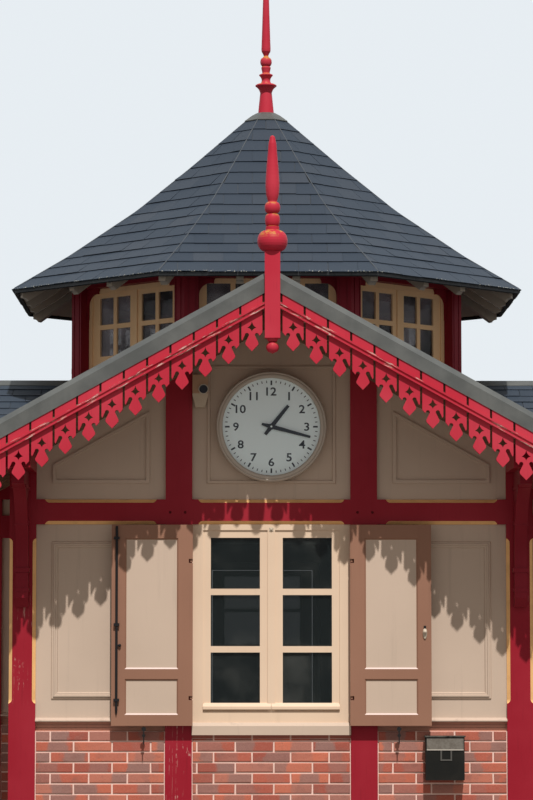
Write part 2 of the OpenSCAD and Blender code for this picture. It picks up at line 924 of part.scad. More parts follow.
// A smooth outline through given points, from the second to the last but one
function smooth(p) = [
    for (k = [1:len(p) - 3], t = [0:0.25:0.99])
        p[k] + (p[k + 1] - p[k - 1]) * t / 2
        + (p[k - 1] - 2.5 * p[k] + 2 * p[k + 1] - p[k + 2] / 2) * t * t
        + (3 * p[k] - p[k - 1] - 3 * p[k + 1] + p[k + 2]) * t * t * t / 2
];

function finial_top() = concat(
    [[0, 0]], bead(0, 123, 42, 89), [[40, 126], [40, 146]], bead(150, 220, 31, 44), bead(226, 290, 28, 46),
    smooth([[20, 275], [27, 296], [37, 335], [41, 394], [36, 485], [28, 576], [20, 655], [0, 700]]),
    [[14, 678], [0, 687]]
);

function finial_drop() = concat(
    [[0, 0], [34, 0], [27, 18]], bead(22, 82, 16, 37), [[0, 90]]
);

module gable_finial(arm) {
    top = ridge_z(arm) + shaft_rise;
    color("crimson") translate([0, -finial_y, 0]) {
        translate([-shaft_w / 2, -shaft_w / 2, top - shaft_l]) cube([shaft_w, shaft_w, shaft_l]);
        translate([0, 0, top]) rotate_extrude($fn = round_fn) polygon(finial_top());
        translate([0, 0, top - shaft_l]) mirror([0, 0, 1]) {
            rotate_extrude($fn = round_fn) polygon(finial_drop());
        }
    }
}

module gable_finials() {
    for (i = ARMS) arm(i) gable_finial(i);
}

// Curved brackets under the ends of the wall plates

bracket_w = 74;
bracket_h = 750;
bracket_leg = 80;
bracket_head = 90;
bracket_foot = 55;
bracket_reach = gable_overhang - 170;
bracket_middle = bracket_reach + 20;
bracket_r = bracket_middle - bracket_leg;

// Bands round a bracket: drop from the plate, height and how far they stand out
BRACKET_BANDS = [[bracket_head, 18, 6], [290, 28, 4], [573, 24, 9], [692, 22, 5]];

// How far a bracket's curved front stands out from the post, at a drop from the plate
function bracket_depth(drop) = bracket_middle
    - sqrt(bracket_r ^ 2 - max(0, bracket_head + bracket_r - drop) ^ 2);

module bracket_outline() {
    curve_z = -bracket_head - bracket_r;
    difference() {
        polygon([
            [0, 0], [bracket_reach, 0], [bracket_reach, -bracket_head], [bracket_reach, curve_z],
            [bracket_leg, curve_z], [bracket_leg, -bracket_h], [bracket_leg / 2, -bracket_h - bracket_foot],
            [0, -bracket_h - bracket_foot]
        ]);
        translate([bracket_middle, curve_z]) circle(r = bracket_r, $fn = round_fn);
    }
}

module eave_bracket() {
    translate([bracket_w / 2, 0, 0]) rotate([90, 0, -90]) linear_extrude(bracket_w) bracket_outline();
    for (band = BRACKET_BANDS) {
        depth = min(bracket_reach, bracket_depth(band[0] + band[1])) + band[2];
        translate([-bracket_w / 2 - band[2], -depth, -band[0] - band[1]]) {
            cube([bracket_w + 2 * band[2], depth, band[1]]);
        }
    }
}

module eave_brackets() {
    color("crimson") for (i = ARMS) arm(i) both_sides() {
        translate([half_w - post_w / 2, -wall_y, plate_z(i)]) eave_bracket();
    }
}

// Lantern over the crossing

lantern_base_z = beam_z + beam_h + fit;
lantern_head_z = max(ridge_main_z, ridge_side_z) + lantern_head_rise;
lantern_top_z = lantern_head_z - fit;
face_half = drum_a * tan(180 / 8);
lantern_window_half = face_half - lantern_post - fit;
FACES = [0:7];

// The sills over a ridge clear its zinc, the slanting ones clear the roofs at their corners
function face_sill_z(face) = face % 2 == 0
    ? ridge_z(face / 2) + zinc_rise + drum_clearance + lantern_sill_t
    : max(roof_z(FRONT, face_half), roof_z(RIGHT, face_half)) + lantern_sill_rise;

module lantern_face(face) {
    rotate([0, 0, 45 * face]) children();
}

// Puts a front view on a lantern face, from a depth behind its outside to another
module on_lantern(depth0, depth1) {
    along_arm(drum_a - depth1, drum_a - depth0) children();
}

module octagon_ring(outer, inner, h) {
    linear_extrude(h) difference() {
        octagon(outer);
        octagon(inner);
    }
}

module lantern_rings() {
    color("firebrick") {
        translate([0, 0, beam_z]) octagon_ring(inner_half - fit, drum_a - lantern_t, beam_h);
        translate([0, 0, lantern_head_z]) {
            octagon_ring(drum_a, drum_a - lantern_t, lantern_head_top - lantern_head_z);
        }
    }
}

// Distances of the grooves from a post's corner, on both its faces
POST_GROOVES = [30, 80];
groove_w = 8;
groove_t = 5;

module lantern_posts() {
    color("firebrick") for (face = FACES) lantern_face(face) rotate(180 / 8) {
        corner = drum_a / cos(180 / 8);
        side_x = lantern_post * cos(180 / 8);
        side_y = corner - lantern_post * sin(180 / 8);
        back_x = side_x - lantern_t * sin(180 / 8);
        back_y = side_y - lantern_t * cos(180 / 8);
        translate([0, 0, lantern_base_z]) linear_extrude(lantern_top_z - lantern_base_z) difference() {
            polygon([
                [0, -corner], [side_x, -side_y], [back_x, -back_y], [-back_x, -back_y], [-side_x, -side_y]
            ]);
            for (side = [-1, 1], x = POST_GROOVES) rotate(side * 180 / 8) {
                translate([side * (x - face_half), -drum_a]) square([groove_w, 2 * groove_t], center = true);
            }
        }
    }
}

apron_setback = 15;
apron_t = 60;
lantern_sill_t = 36;
lantern_sill_out = 6;

module lantern_aprons() {
    color("firebrick") for (face = FACES) lantern_face(face) {
        z = face_sill_z(face) - lantern_sill_t;
        on_lantern(apron_setback, apron_setback + apron_t) {
            box_2d(-lantern_window_half, lantern_window_half, lantern_base_z, z);
        }
        on_lantern(-lantern_sill_out, lantern_t) {
            box_2d(-lantern_window_half, lantern_window_half, z, z + lantern_sill_t);
        }
    }
}

// Widths of the frame beside, below and above the panes, over a front or back ridge and on the other faces
LOW_FRAME = [57, 45, 27];
TALL_FRAME = [105, 149, 67];
lantern_middle_w = 115;
lantern_bar_w = 33;
lantern_frame_front = 85;
lantern_frame_t = 35;
lantern_trim_w = 34;
lantern_trim_t = 8;
lantern_columns = 4;

function face_frame(face) = face % 4 == 0 ? LOW_FRAME : TALL_FRAME;

// Left edge of a pane, with the broad middle of the two casements between the second and the third
function lantern_pane_w(face) = (2 * (lantern_window_half - face_frame(face)[0]) - lantern_middle_w
    - 2 * lantern_bar_w) / lantern_columns;
function lantern_pane_x(face, column) = -lantern_window_half + face_frame(face)[0]
    + column * (lantern_pane_w(face) + lantern_bar_w) + (column > 1 ? lantern_middle_w - lantern_bar_w : 0);

// What the glass of one window covers, less an inset
module lantern_opening(face, inset) {
    frame = face_frame(face);
    x = lantern_window_half - frame[0] - inset;
    box_2d(-x, x, face_sill_z(face) + frame[1] + inset, lantern_top_z - frame[2] - inset);
}

// One lantern window, with a trim round it and down its middle, and its bars in front of the glass
module lantern_window(face) {
    z0 = face_sill_z(face);
    z1 = lantern_top_z;
    rows = face % 4 == 0 ? 1 : 2;
    pane_z0 = z0 + face_frame(face)[1];
    pane_w = lantern_pane_w(face);
    pane_h = (z1 - face_frame(face)[2] - pane_z0 - (rows - 1) * lantern_bar_w) / rows;
    in_x = lantern_window_half - lantern_trim_w;
    on_lantern(lantern_frame_front - lantern_trim_t, lantern_frame_front) difference() {
        box_2d(-lantern_window_half, lantern_window_half, z0, z1);
        box_2d(-in_x, -lantern_trim_w / 2, z0 + lantern_trim_w / 2, z1 - lantern_trim_w);
        box_2d(lantern_trim_w / 2, in_x, z0 + lantern_trim_w / 2, z1 - lantern_trim_w);
    }
    on_lantern(lantern_frame_front, lantern_frame_front + glass_front) difference() {
        box_2d(-lantern_window_half, lantern_window_half, z0, z1);
        for (column = [0:lantern_columns - 1], row = [0:rows - 1]) {
            x = lantern_pane_x(face, column);
            z = pane_z0 + row * (pane_h + lantern_bar_w);
            box_2d(x, x + pane_w, z, z + pane_h);
        }
    }
    on_lantern(lantern_frame_front + glass_front, lantern_frame_front + lantern_frame_t) difference() {
        box_2d(-lantern_window_half, lantern_window_half, z0, z1);
        lantern_opening(face, -glass_lap);
    }
}

module lantern_windows() {
    color("wheat") for (face = FACES) lantern_face(face) lantern_window(face);
}

module lantern_glass() {
    depth = lantern_frame_front + glass_front;
    color("lightblue") for (face = FACES) lantern_face(face) on_lantern(depth, depth + glass_t) {
        lantern_opening(face, fit - glass_lap);
    }
}

spandrel_w = 148;
spandrel_h = 212;
spandrel_t = 22;
spandrel_foot = 5;
hollow_r = 81;
hollow_z = 98;
step_r = 42;
step_z = 185;

// A bracket with two hollows that meet in a cusp
module spandrel_outline() {
    difference() {
        square([spandrel_w, spandrel_h]);
        box_2d(spandrel_foot, spandrel_w + 1, -1, hollow_z);
        translate([spandrel_foot + hollow_r, hollow_z]) circle(r = hollow_r, $fn = round_fn);
        translate([spandrel_w, step_z]) circle(r = step_r, $fn = round_fn);
    }
}

module lantern_spandrels() {
    back = lantern_frame_front - lantern_trim_t - fit;
    color("firebrick") for (face = FACES) lantern_face(face) both_sides() on_lantern(back - spandrel_t, back) {
        translate([-lantern_window_half, lantern_top_z - spandrel_h]) spandrel_outline();
    }
}

// Lantern roof: apothem of each break of its slope, from the eave to the cap, and the pitch below each
lantern_eave_a = drum_a + lantern_eave;
lantern_eave_drop = 14;
cap_a = 132;
OUT_OF_WALL = [lantern_eave, 18, -450, -830];
BREAKS = concat([for (out = OUT_OF_WALL) drum_a + out], [cap_a]);
PITCHES = [0, 0.654, 0.744, 0.882, 0.93];
function break_z(k) = k == 0 ? lantern_head_z - lantern_eave_drop
    : break_z(k - 1) + (BREAKS[k - 1] - BREAKS[k]) * PITCHES[k];
LANTERN_SLOPE = [for (k = [0:4]) [BREAKS[k], break_z(k)]];
soffit_t = 15;
soffit_inset = 50;
spike_hole_r = 40;

// A solid pyramid under the lantern's slope, lowered by a drop and run on below its eave
module lantern_pyramid(drop) {
    below = 100;
    first = [LANTERN_SLOPE[0][0] + below / PITCHES[1], LANTERN_SLOPE[0][1] - below];
    levels = concat([first], [for (k = [1:4]) LANTERN_SLOPE[k]]);
    rotate(180 / 8) for (k = [0:3]) translate([0, 0, levels[k][1] - drop]) {
        cylinder(h = levels[k + 1][1] - levels[k][1], r1 = levels[k][0] / cos(180 / 8),
            r2 = levels[k + 1][0] / cos(180 / 8), $fn = 8);
    }
}

module lantern_shell(top, bottom, outer) {
    intersection() {
        difference() {
            lantern_pyramid(top);
            lantern_pyramid(bottom);
        }
        linear_extrude(tall) octagon(outer);
    }
}

module lantern_roof() {
    color("slategray") difference() {
        lantern_shell(0, lantern_roof_t, lantern_eave_a);
        translate([0, 0, LANTERN_SLOPE[4][1] - 2 * lantern_roof_t]) linear_extrude(4 * lantern_roof_t) {
            circle(r = spike_hole_r, $fn = round_fn);
        }
    }
}

fascia_h = 10;
fascia_t = 20;
fascia_inset = 6;

// A dark board under the edge of the lantern's slates
module lantern_fascia() {
    color("dimgray") difference() {
        lantern_shell(lantern_roof_t + fit, lantern_roof_t + fascia_h, lantern_eave_a - fascia_inset);
        linear_extrude(tall) octagon(lantern_eave_a - fascia_inset - fascia_t);
    }
}

module lantern_soffit() {
    color("tan") difference() {
        lantern_shell(lantern_roof_t, lantern_roof_t + soffit_t, lantern_eave_a - soffit_inset);
        linear_extrude(tall) octagon(drum_a - lantern_t);
    }
}

lantern_rafter_h = 90;
lantern_rafter_w = 50;
lantern_tail_r = 48;

// Top of a rafter at an apothem, under the soffit near the eave
function rafter_top(a) = LANTERN_SLOPE[0][1] - lantern_roof_t - soffit_t - fit
    + (LANTERN_SLOPE[0][0] - a) * PITCHES[1];
lantern_head_top = rafter_top(drum_a) - lantern_rafter_h - fit;

// A rafter that rests on the lantern's head, with a hollow cut under its end
module lantern_rafter(stretch, drop) {
    a0 = drum_a - lantern_t;
    a1 = lantern_eave_a - soffit_inset;
    foot_z = rafter_top(a1) - drop - lantern_rafter_h;
    translate([lantern_rafter_w / 2, 0, 0]) rotate([90, 0, -90]) linear_extrude(lantern_rafter_w) {
        difference() {
            polygon([
                [a0 * stretch, rafter_top(a0) - drop], [a1 * stretch, rafter_top(a1) - drop],
                [a1 * stretch, foot_z], [drum_a * stretch, rafter_top(drum_a) - lantern_rafter_h],
                [a0 * stretch, rafter_top(a0) - lantern_rafter_h]
            ]);
            translate([a1 * stretch, foot_z]) circle(r = lantern_tail_r, $fn = round_fn);
        }
    }
}

module lantern_rafters() {
    hip_drop = lantern_rafter_w / 2 * sin(180 / 8) * PITCHES[1];
    color("tan") for (face = FACES) lantern_face(face) {
        for (side = [-1, 1]) translate([side * face_half / 3, 0, 0]) lantern_rafter(1, 0);
        rotate(180 / 8) lantern_rafter(1 / cos(180 / 8), hip_drop);
    }
}

cap_base_z = LANTERN_SLOPE[4][1] + fit;
cap_h = 66;
cap_top_r = 62;
cap_lip = 2;

// A cone that goes on with the slope of the slates
module lantern_cap() {
    color("darkgray") translate([0, 0, cap_base_z]) rotate_extrude($fn = round_fn) polygon([
        [0, 0], [cap_a + cap_lip, 0], [cap_top_r, cap_h], [0, cap_h]
    ]);
}

// Foot, flange, flared ring, small bead, ball and tapered spike
function spike_profile() = concat(
    [[0, 0], [57, 0]], smooth([[40, 135], [42, 150], [54, 178], [77, 200], [90, 212]]),
    [[77, 200], [76, 206], [62, 214]], smooth([[48, 206], [40, 216], [31, 240], [37, 262], [50, 278], [60, 290]]),
    [[50, 278], [49, 283], [36, 288]], smooth([[34, 288], [27, 295], [30, 312], [34.5, 332], [36, 340]]),
    [[34.5, 332], [33, 338]], bead(346, 406, 26, 41.5),
    smooth([
        [20, 405], [16, 420], [26, 442], [33, 462], [31, 533], [25, 725], [20, 880], [12, 972], [0, 1000]
    ]),
    [[12, 972], [6, 990], [0, 998]]
);

module lantern_finial() {
    color("crimson") translate([0, 0, cap_base_z + cap_h + fit]) rotate_extrude($fn = round_fn) {
        polygon(spike_profile());
    }
}

// Clock

clock_depth = 70;
clock_face = 30;
hand_gap = 6;
hour_t = 4;
minute_t = 2;
arbor_r = 6;
arbor_end = 6;
hour_angle = 30 * (clock_hour + clock_minute / 60);
minute_angle = 6 * clock_minute;

module on_clock(front, back) {
    translate([0, 0, clock_z]) on_gable(front, back) children();
}

// Ring round the dial, with a rounded front
module clock_case() {
    bezel_r = clock_rim / 2;
    color("wheat") translate([0, 0, clock_z]) off_gable(panel_setback) rotate_extrude($fn = 96) {
        translate([clock_r - clock_rim, 0]) square([clock_rim, clock_depth - bezel_r]);
        translate([clock_r - bezel_r, clock_depth - bezel_r]) circle(r = bezel_r, $fn = 24);
    }
}

dial_front = panel_setback - clock_face;
hour_front = dial_front - hand_gap - hour_t;
minute_front = hour_front - hand_gap - minute_t;

module clock_dial() {
    color("white") {
        on_clock(dial_front, panel_setback) circle(r = clock_r - clock_rim - fit, $fn = 96);
        on_clock(minute_front - arbor_end, dial_front) circle(r = arbor_r, $fn = round_fn);
    }
}

hub_r = 18;
hand_w = 26;
hour_l = 163;
hour_tip_w = 18;
minute_l = 242;
minute_tip_w = 14;
hand_tail = 60;

// A tapered bar with blunt ends and a round hub
module hand_outline(length, tip_w) {
    difference() {
        union() {
            polygon([
                [-tip_w / 2, length], [-hand_w / 2, 0], [-tip_w / 2, -hand_tail], [tip_w / 2, -hand_tail],
                [hand_w / 2, 0], [tip_w / 2, length]
            ]);
            circle(r = hub_r, $fn = round_fn);
        }
        circle(r = arbor_r + fit, $fn = round_fn);
    }
}

module hour_hand() {
    color("black") on_clock(hour_front, hour_front + hour_t) rotate(-hour_angle) {
        hand_outline(hour_l, hour_tip_w);
    }
}

module minute_hand() {
    color("black") on_clock(minute_front, minute_front + minute_t) rotate(-minute_angle) {
        hand_outline(minute_l, minute_tip_w);
    }
}

// Shutters, folded back beside the windows

pivot_gap = 4;
pivot_x = window_half + pivot_gap;
pivot_y = leaf_standoff + leaf_t / 2;
leaf_gap = 3;
leaf_lap = 9;
leaf_head_gap = 5;
leaf_top = rail_z - leaf_head_gap;
leaf_x0 = pivot_x - leaf_lap;
leaf_w = pivot_x + leaf_lap - leaf_gap;
leaf_free_stile = 89;
leaf_top_rail = 89;
leaf_mid_rail = 77;
leaf_mid_z = 307;
leaf_bottom_rail = 74;
leaf_panel_t = 14;
hinge_h = 40;
HINGE_Z = [leaf_z + 170, leaf_top - 210];
arm_room = 14.5;
arm_room_z = 18;
pin_room = 10.3;
pin_room_z = 6;

// The two openings of a shutter's frame: left, right, bottom and top on the right-hand leaf
leaf_in_x = [leaf_x0 + leaf_stile, leaf_x0 + leaf_w - leaf_free_stile];
LEAF_OPENINGS = [
    [leaf_in_x[0], leaf_in_x[1], leaf_z + leaf_bottom_rail, leaf_z + leaf_mid_z - leaf_mid_rail / 2],
    [leaf_in_x[0], leaf_in_x[1], leaf_z + leaf_mid_z + leaf_mid_rail / 2, leaf_top - leaf_top_rail]
];

// Frame of the right-hand leaf, bevelled round its panels on both faces, with a skin of wood before each eye
module leaf_frame() {
    bevel = (leaf_t - leaf_panel_t) / 2;
    difference() {
        on_gable(-leaf_standoff - leaf_t, -leaf_standoff) difference() {
            box_2d(leaf_x0, leaf_x0 + leaf_w, leaf_z, leaf_top);
            for (hole = LEAF_OPENINGS) box_2d(hole[0], hole[1], hole[2], hole[3]);
            for (z = HINGE_Z) box_2d(leaf_x0 - 1, pivot_x + arm_room, z - arm_room_z, z + pin_room_z);
        }
        for (z = HINGE_Z) on_gable(-pivot_y - pin_room, 1 - leaf_standoff) {
            box_2d(leaf_x0 - 1, pivot_x + pin_room, z, z + hinge_h + pin_room_z);
        }
        for (hole = LEAF_OPENINGS) {
            off_gable(bevel - leaf_standoff - leaf_t) {
                bevelled_block(hole[0], hole[1], hole[2], hole[3], bevel, -bevel, 1);
            }
            off_gable(-leaf_standoff - bevel) mirror([0, 0, 1]) {
                bevelled_block(hole[0], hole[1], hole[2], hole[3], bevel, -bevel, 1);
            }
        }
    }
}

module leaf_panels() {
    middle = -leaf_standoff - leaf_t / 2;
    on_gable(middle - leaf_panel_t / 2, middle + leaf_panel_t / 2) {
        for (hole = LEAF_OPENINGS) box_2d(hole[0], hole[1], hole[2], hole[3]);
    }
}

pin_r = 5;
eye_r = 9;
eye_half = 4;
strap_t = 4;
strap_l = 170;

// Eye and strap of one hinge, on the wall side of the leaf
module hinge_eye(z) {
    difference() {
        union() {
            translate([pivot_x, -wall_y - pivot_y, z]) cylinder(h = hinge_h, r = eye_r, $fn = round_fn);
            translate([pivot_x - eye_half, -wall_y - pivot_y, z]) {
                cube([2 * eye_half, leaf_t / 2 + strap_t, hinge_h]);
            }
            translate([pivot_x - eye_half, -wall_y - leaf_standoff, z]) {
                cube([strap_l, strap_t, hinge_h]);
            }
        }
        translate([pivot_x, -wall_y - pivot_y, z - 1]) {
            cylinder(h = hinge_h + 2, r = pin_r + fit, $fn = round_fn);
        }
    }
}

module left_shutter_frame() {
    color("sienna") mirror([1, 0, 0]) leaf_frame();
}

module right_shutter_frame() {
    color("sienna") leaf_frame();
}

module left_shutter_panels() {
    color("tan") mirror([1, 0, 0]) leaf_panels();
}

module right_shutter_panels() {
    color("tan") leaf_panels();
}

module leaf_hinges() {
    for (z = HINGE_Z) hinge_eye(z);
}

module left_shutter_hinges() {
    color("saddlebrown") mirror([1, 0, 0]) leaf_hinges();
}

module right_shutter_hinges() {
    color("saddlebrown") leaf_hinges();
}

bolt_r = 7.5;
bolt_gap = 2;
bolt_x = leaf_x0 + leaf_w - 31;
bolt_z0 = leaf_z + 66;
bolt_z1 = leaf_top - 9;
bolt_point = 26;
BOLT_GUIDES = [leaf_z + 153, leaf_z + 601, leaf_top - 80];
guide_w = 34;
guide_h = 16;
handle_z = leaf_z + 477;
handle_l = 19;
handle_r = 9;

// A sliding rod in three guides, with a pointed end and a knobbed handle
module left_shutter_fittings() {
    reach = 2 * bolt_r + bolt_gap + 3;
    front = -wall_y - leaf_standoff - leaf_t;
    color("black") mirror([1, 0, 0]) {
        translate([bolt_x, front - bolt_gap - bolt_r, bolt_z0]) {
            cylinder(h = bolt_point, r1 = bolt_r / 3, r2 = bolt_r, $fn = round_fn);
            translate([0, 0, bolt_point]) {
                cylinder(h = bolt_z1 - bolt_z0 - bolt_point, r = bolt_r, $fn = round_fn);
            }
        }
        for (z = BOLT_GUIDES) {
            translate([bolt_x - guide_w / 2, front - reach, z - guide_h / 2]) cube([guide_w, reach, guide_h]);
        }
        translate([bolt_x, front - bolt_gap - bolt_r, handle_z]) {
            rotate([0, -90, 0]) cylinder(h = handle_l, r = handle_r / 2, $fn = round_fn);
            translate([-handle_l, 0, 0]) sphere(r = handle_r, $fn = round_fn);
        }
    }
}

knob_x = leaf_x0 + leaf_w - 39;
knob_z = leaf_z + 559;
knob_stem = 16;
knob_r = 11;

module right_shutter_fittings() {
    color("tan") translate([knob_x, -wall_y - leaf_standoff - leaf_t, knob_z]) rotate([90, 0, 0]) {
        cylinder(h = knob_stem, r = knob_r / 2, $fn = round_fn);
        translate([0, 0, knob_stem]) sphere(r = knob_r, $fn = round_fn);
    }
}

module side_shutter_frames() {
    color("sienna") for (i = SIDE_ARMS) arm(i) both_sides() leaf_frame();
}

module side_shutter_panels() {
    color("tan") for (i = SIDE_ARMS) arm(i) both_sides() leaf_panels();
}

pin_arm_h = 12;
pin_arm_half = 5;

// Pins that carry the shutters, each on an arm from the post
module hinge_pin(z) {
    translate([pivot_x, -wall_y - pivot_y, z - pin_arm_h - fit]) {
        cylinder(h = pin_arm_h, r = eye_r, $fn = round_fn);
        cylinder(h = pin_arm_h + fit + hinge_h, r = pin_r, $fn = round_fn);
        translate([-pin_arm_half, 0, 0]) cube([2 * pin_arm_half, pivot_y, pin_arm_h]);
    }
}

holdback_x = 760;
holdback_w = 27;
holdback_t = 8;
holdback_h = 104;
holdback_clearance = 6;
holdback_r = 6;
catch_boss_r = 10;
catch_neck = 9;
catch_tail = 6;

// Front view of a catch: a round head, a boss on its rod and a thin tail
module catch_outline() {
    translate([0, -holdback_w / 2]) circle(r = holdback_w / 2, $fn = round_fn);
    translate([0, -holdback_h / 2]) circle(r = catch_boss_r, $fn = round_fn);
    polygon([
        [-catch_neck / 2, -holdback_w / 2], [catch_neck / 2, -holdback_w / 2], [catch_tail / 2, -holdback_h],
        [-catch_tail / 2, -holdback_h]
    ]);
}

// A catch that turns up over a folded leaf, shown turned down so that the leaf can swing
module holdback() {
    out = leaf_standoff + leaf_t;
    top = leaf_z - holdback_clearance;
    translate([holdback_x, -wall_y, top]) {
        translate([0, -out, 0]) rotate([90, 0, 0]) linear_extrude(holdback_t) catch_outline();
        translate([0, brick_setback, -holdback_h / 2]) rotate([90, 0, 0]) {
            cylinder(h = out + brick_setback, r = holdback_r, $fn = round_fn);
        }
    }
}

module shutter_ironwork() {
    color("black") for (i = WINDOW_ARMS) arm(i) both_sides() {
        holdback();
        for (z = HINGE_Z) {
            hinge_pin(z);
            if (i != FRONT) hinge_eye(z);
        }
    }
}

// Camera and box on the front wall

camera_z = 3120;
camera_w = 94;
camera_gap = 1;
camera_x = camera_gap + camera_w / 2 - window_half;
camera_h = 195;
camera_chin_w = 56;
camera_chin_h = 70;
camera_t = 60;
camera_foot_h = 120;
lens_x = 19;
lens_z = 10;
lens_r = 25;
lens_t = 4;
lens_ring_r = 30;
lens_ring_t = 10;

module security_camera() {
    front = panel_setback - thin_t - fit;
    foot_x1 = -centre_half - camera_gap - camera_x;
    color("tan") translate([camera_x, 0, camera_z]) {
        on_gable(front, panel_setback) {
            box_2d(-camera_w / 2, foot_x1, -camera_foot_h / 2, camera_foot_h / 2);
        }
        on_gable(front - camera_t, front) polygon([
            [-camera_w / 2, camera_h / 2], [camera_w / 2, camera_h / 2],
            [camera_w / 2, camera_chin_h - camera_h / 2], [camera_chin_w / 2, -camera_h / 2],
            [-camera_chin_w / 2, -camera_h / 2], [-camera_w / 2, camera_chin_h - camera_h / 2]
        ]);
        on_gable(front - camera_t - lens_ring_t, front - camera_t) translate([lens_x, lens_z]) difference() {
            circle(r = lens_ring_r, $fn = round_fn);
            circle(r = lens_r, $fn = round_fn);
        }
        on_gable(front - camera_t - lens_t, front - camera_t) translate([lens_x, lens_z]) {
            circle(r = lens_r, $fn = round_fn);
        }
    }
}

box_x0 = 917;
box_w = 231;
box_z0 = 796;
box_h = 255;
box_depth = 90;
lid_lip = 6;
lid_h = 8;
flap_h = 78;
flap_t = 4;
lock_w = 69;
lock_h = 62;
lock_x = 87;
lock_frame = 9;

// A box with a lid, a flap along its top and a lock plate under the flap
module wall_box() {
    front = brick_setback - box_depth;
    flap_z = box_h - flap_h;
    lock_z = flap_z - lock_h;
    color("black") translate([box_x0, 0, box_z0]) {
        on_gable(front, brick_setback) box_2d(0, box_w, 0, box_h);
        on_gable(front - lid_lip, brick_setback) box_2d(-lid_lip, box_w + lid_lip, box_h, box_h + lid_h);
        on_gable(front - flap_t, front) {
            box_2d(lid_lip, box_w - lid_lip, flap_z, box_h - lid_h);
            difference() {
                box_2d(lock_x, lock_x + lock_w, lock_z, flap_z);
                box_2d(lock_x + lock_frame, lock_x + lock_w - lock_frame, lock_z + lock_frame, flap_z);
            }
        }
    }
}

floor_slab();
brickwork();
corner_posts();
wall_posts();
rails();
wall_plates();
roof_beams();
rafters();
weather_bars();
wall_panels();
window_frames();
window_casements();
window_glass();
window_sills();
door_frame();
entrance_door();
door_glass();
front_roof();
right_roof();
back_roof();
left_roof();
ridge_caps();
valley_gutters();
verge_flashings();
front_bargeboards();
back_bargeboards();
side_bargeboards();
barge_battens();
gable_finials();
eave_brackets();
lantern_rings();
lantern_posts();
lantern_aprons();
lantern_windows();
lantern_glass();
lantern_spandrels();
lantern_rafters();
lantern_soffit();
lantern_fascia();
lantern_roof();
lantern_cap();
lantern_finial();
clock_case();
clock_dial();
hour_hand();
minute_hand();
left_shutter_frame();
left_shutter_panels();
left_shutter_hinges();
left_shutter_fittings();
right_shutter_frame();
right_shutter_panels();
right_shutter_hinges();
right_shutter_fittings();
side_shutter_frames();
side_shutter_panels();
shutter_ironwork();
security_camera();
wall_box();
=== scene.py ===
import math

import bpy
import numpy as np
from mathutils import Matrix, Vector


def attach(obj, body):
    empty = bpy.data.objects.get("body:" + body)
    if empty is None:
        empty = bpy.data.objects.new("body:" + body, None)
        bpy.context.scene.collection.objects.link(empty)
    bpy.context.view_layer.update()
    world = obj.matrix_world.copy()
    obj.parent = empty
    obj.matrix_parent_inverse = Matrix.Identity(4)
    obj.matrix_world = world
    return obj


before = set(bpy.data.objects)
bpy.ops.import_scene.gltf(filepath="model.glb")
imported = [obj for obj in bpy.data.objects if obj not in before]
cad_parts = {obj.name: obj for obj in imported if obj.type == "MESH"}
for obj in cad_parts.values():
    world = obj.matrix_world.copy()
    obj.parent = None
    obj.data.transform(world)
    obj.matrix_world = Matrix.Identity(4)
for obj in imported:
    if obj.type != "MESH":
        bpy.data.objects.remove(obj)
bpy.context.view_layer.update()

scene = bpy.context.scene
scene.view_settings.view_transform = "Standard"

# Sizes that several pieces share, as in the CAD model, in metres
WALL = -3.67  # plane of the posts in the front wall
ARM_HALF = 1.57  # from an arm's middle to its side walls
COURSE, PITCH, JOINT = 0.0627, 0.230, 0.010  # bricks: from course to course, from brick to brick, joint
BRICK_TOP = 1.084
EAVE_REACH, EAVE_Z = 2.02, 2.609  # eaves of the arms, from the ridge and above the ground
RIDGES = (3.73, 3.50)  # ridges of the front and back arms, and of the right and left ones
DRUM, DRUM_CLEAR = 1.365, 1.372  # reach of the lantern's wall, and of the slates' cut before it
CLOCK_Z, DIAL = 2.907, -3.675  # middle of the clock, plane of its dial
HALF_FACE = math.tan(math.pi / 8)  # half the width of an octagon's face, for a reach of 1
TO_CORNER = math.cos(math.pi / 8)  # reach of an octagon's faces, for corners at 1


# Camera, lamps and floor

def in_scene(name, data):
    """A new object of a mesh, curve, lamp or camera."""
    made = bpy.data.objects.new(name, data)
    scene.collection.objects.link(made)
    return made


def aim(thing, target):
    """Turns a lamp so that its -Z axis points at the target."""
    thing.rotation_euler = (Vector(target) - thing.location).to_track_quat("-Z", "Y").to_euler()


def place_camera():
    """Stands 19.2 m before the front wall, tilted up 4.73 degrees and turned 0.51 degrees to the right."""
    camera = in_scene("camera", bpy.data.cameras.new("camera"))
    camera.data.lens = 144
    camera.data.sensor_width = 36
    camera.data.clip_end = 200
    camera.location = (-0.20, -22.87, 1.48)
    camera.rotation_euler = (math.radians(90 + 4.73), 0, math.radians(-0.51))
    scene.camera = camera


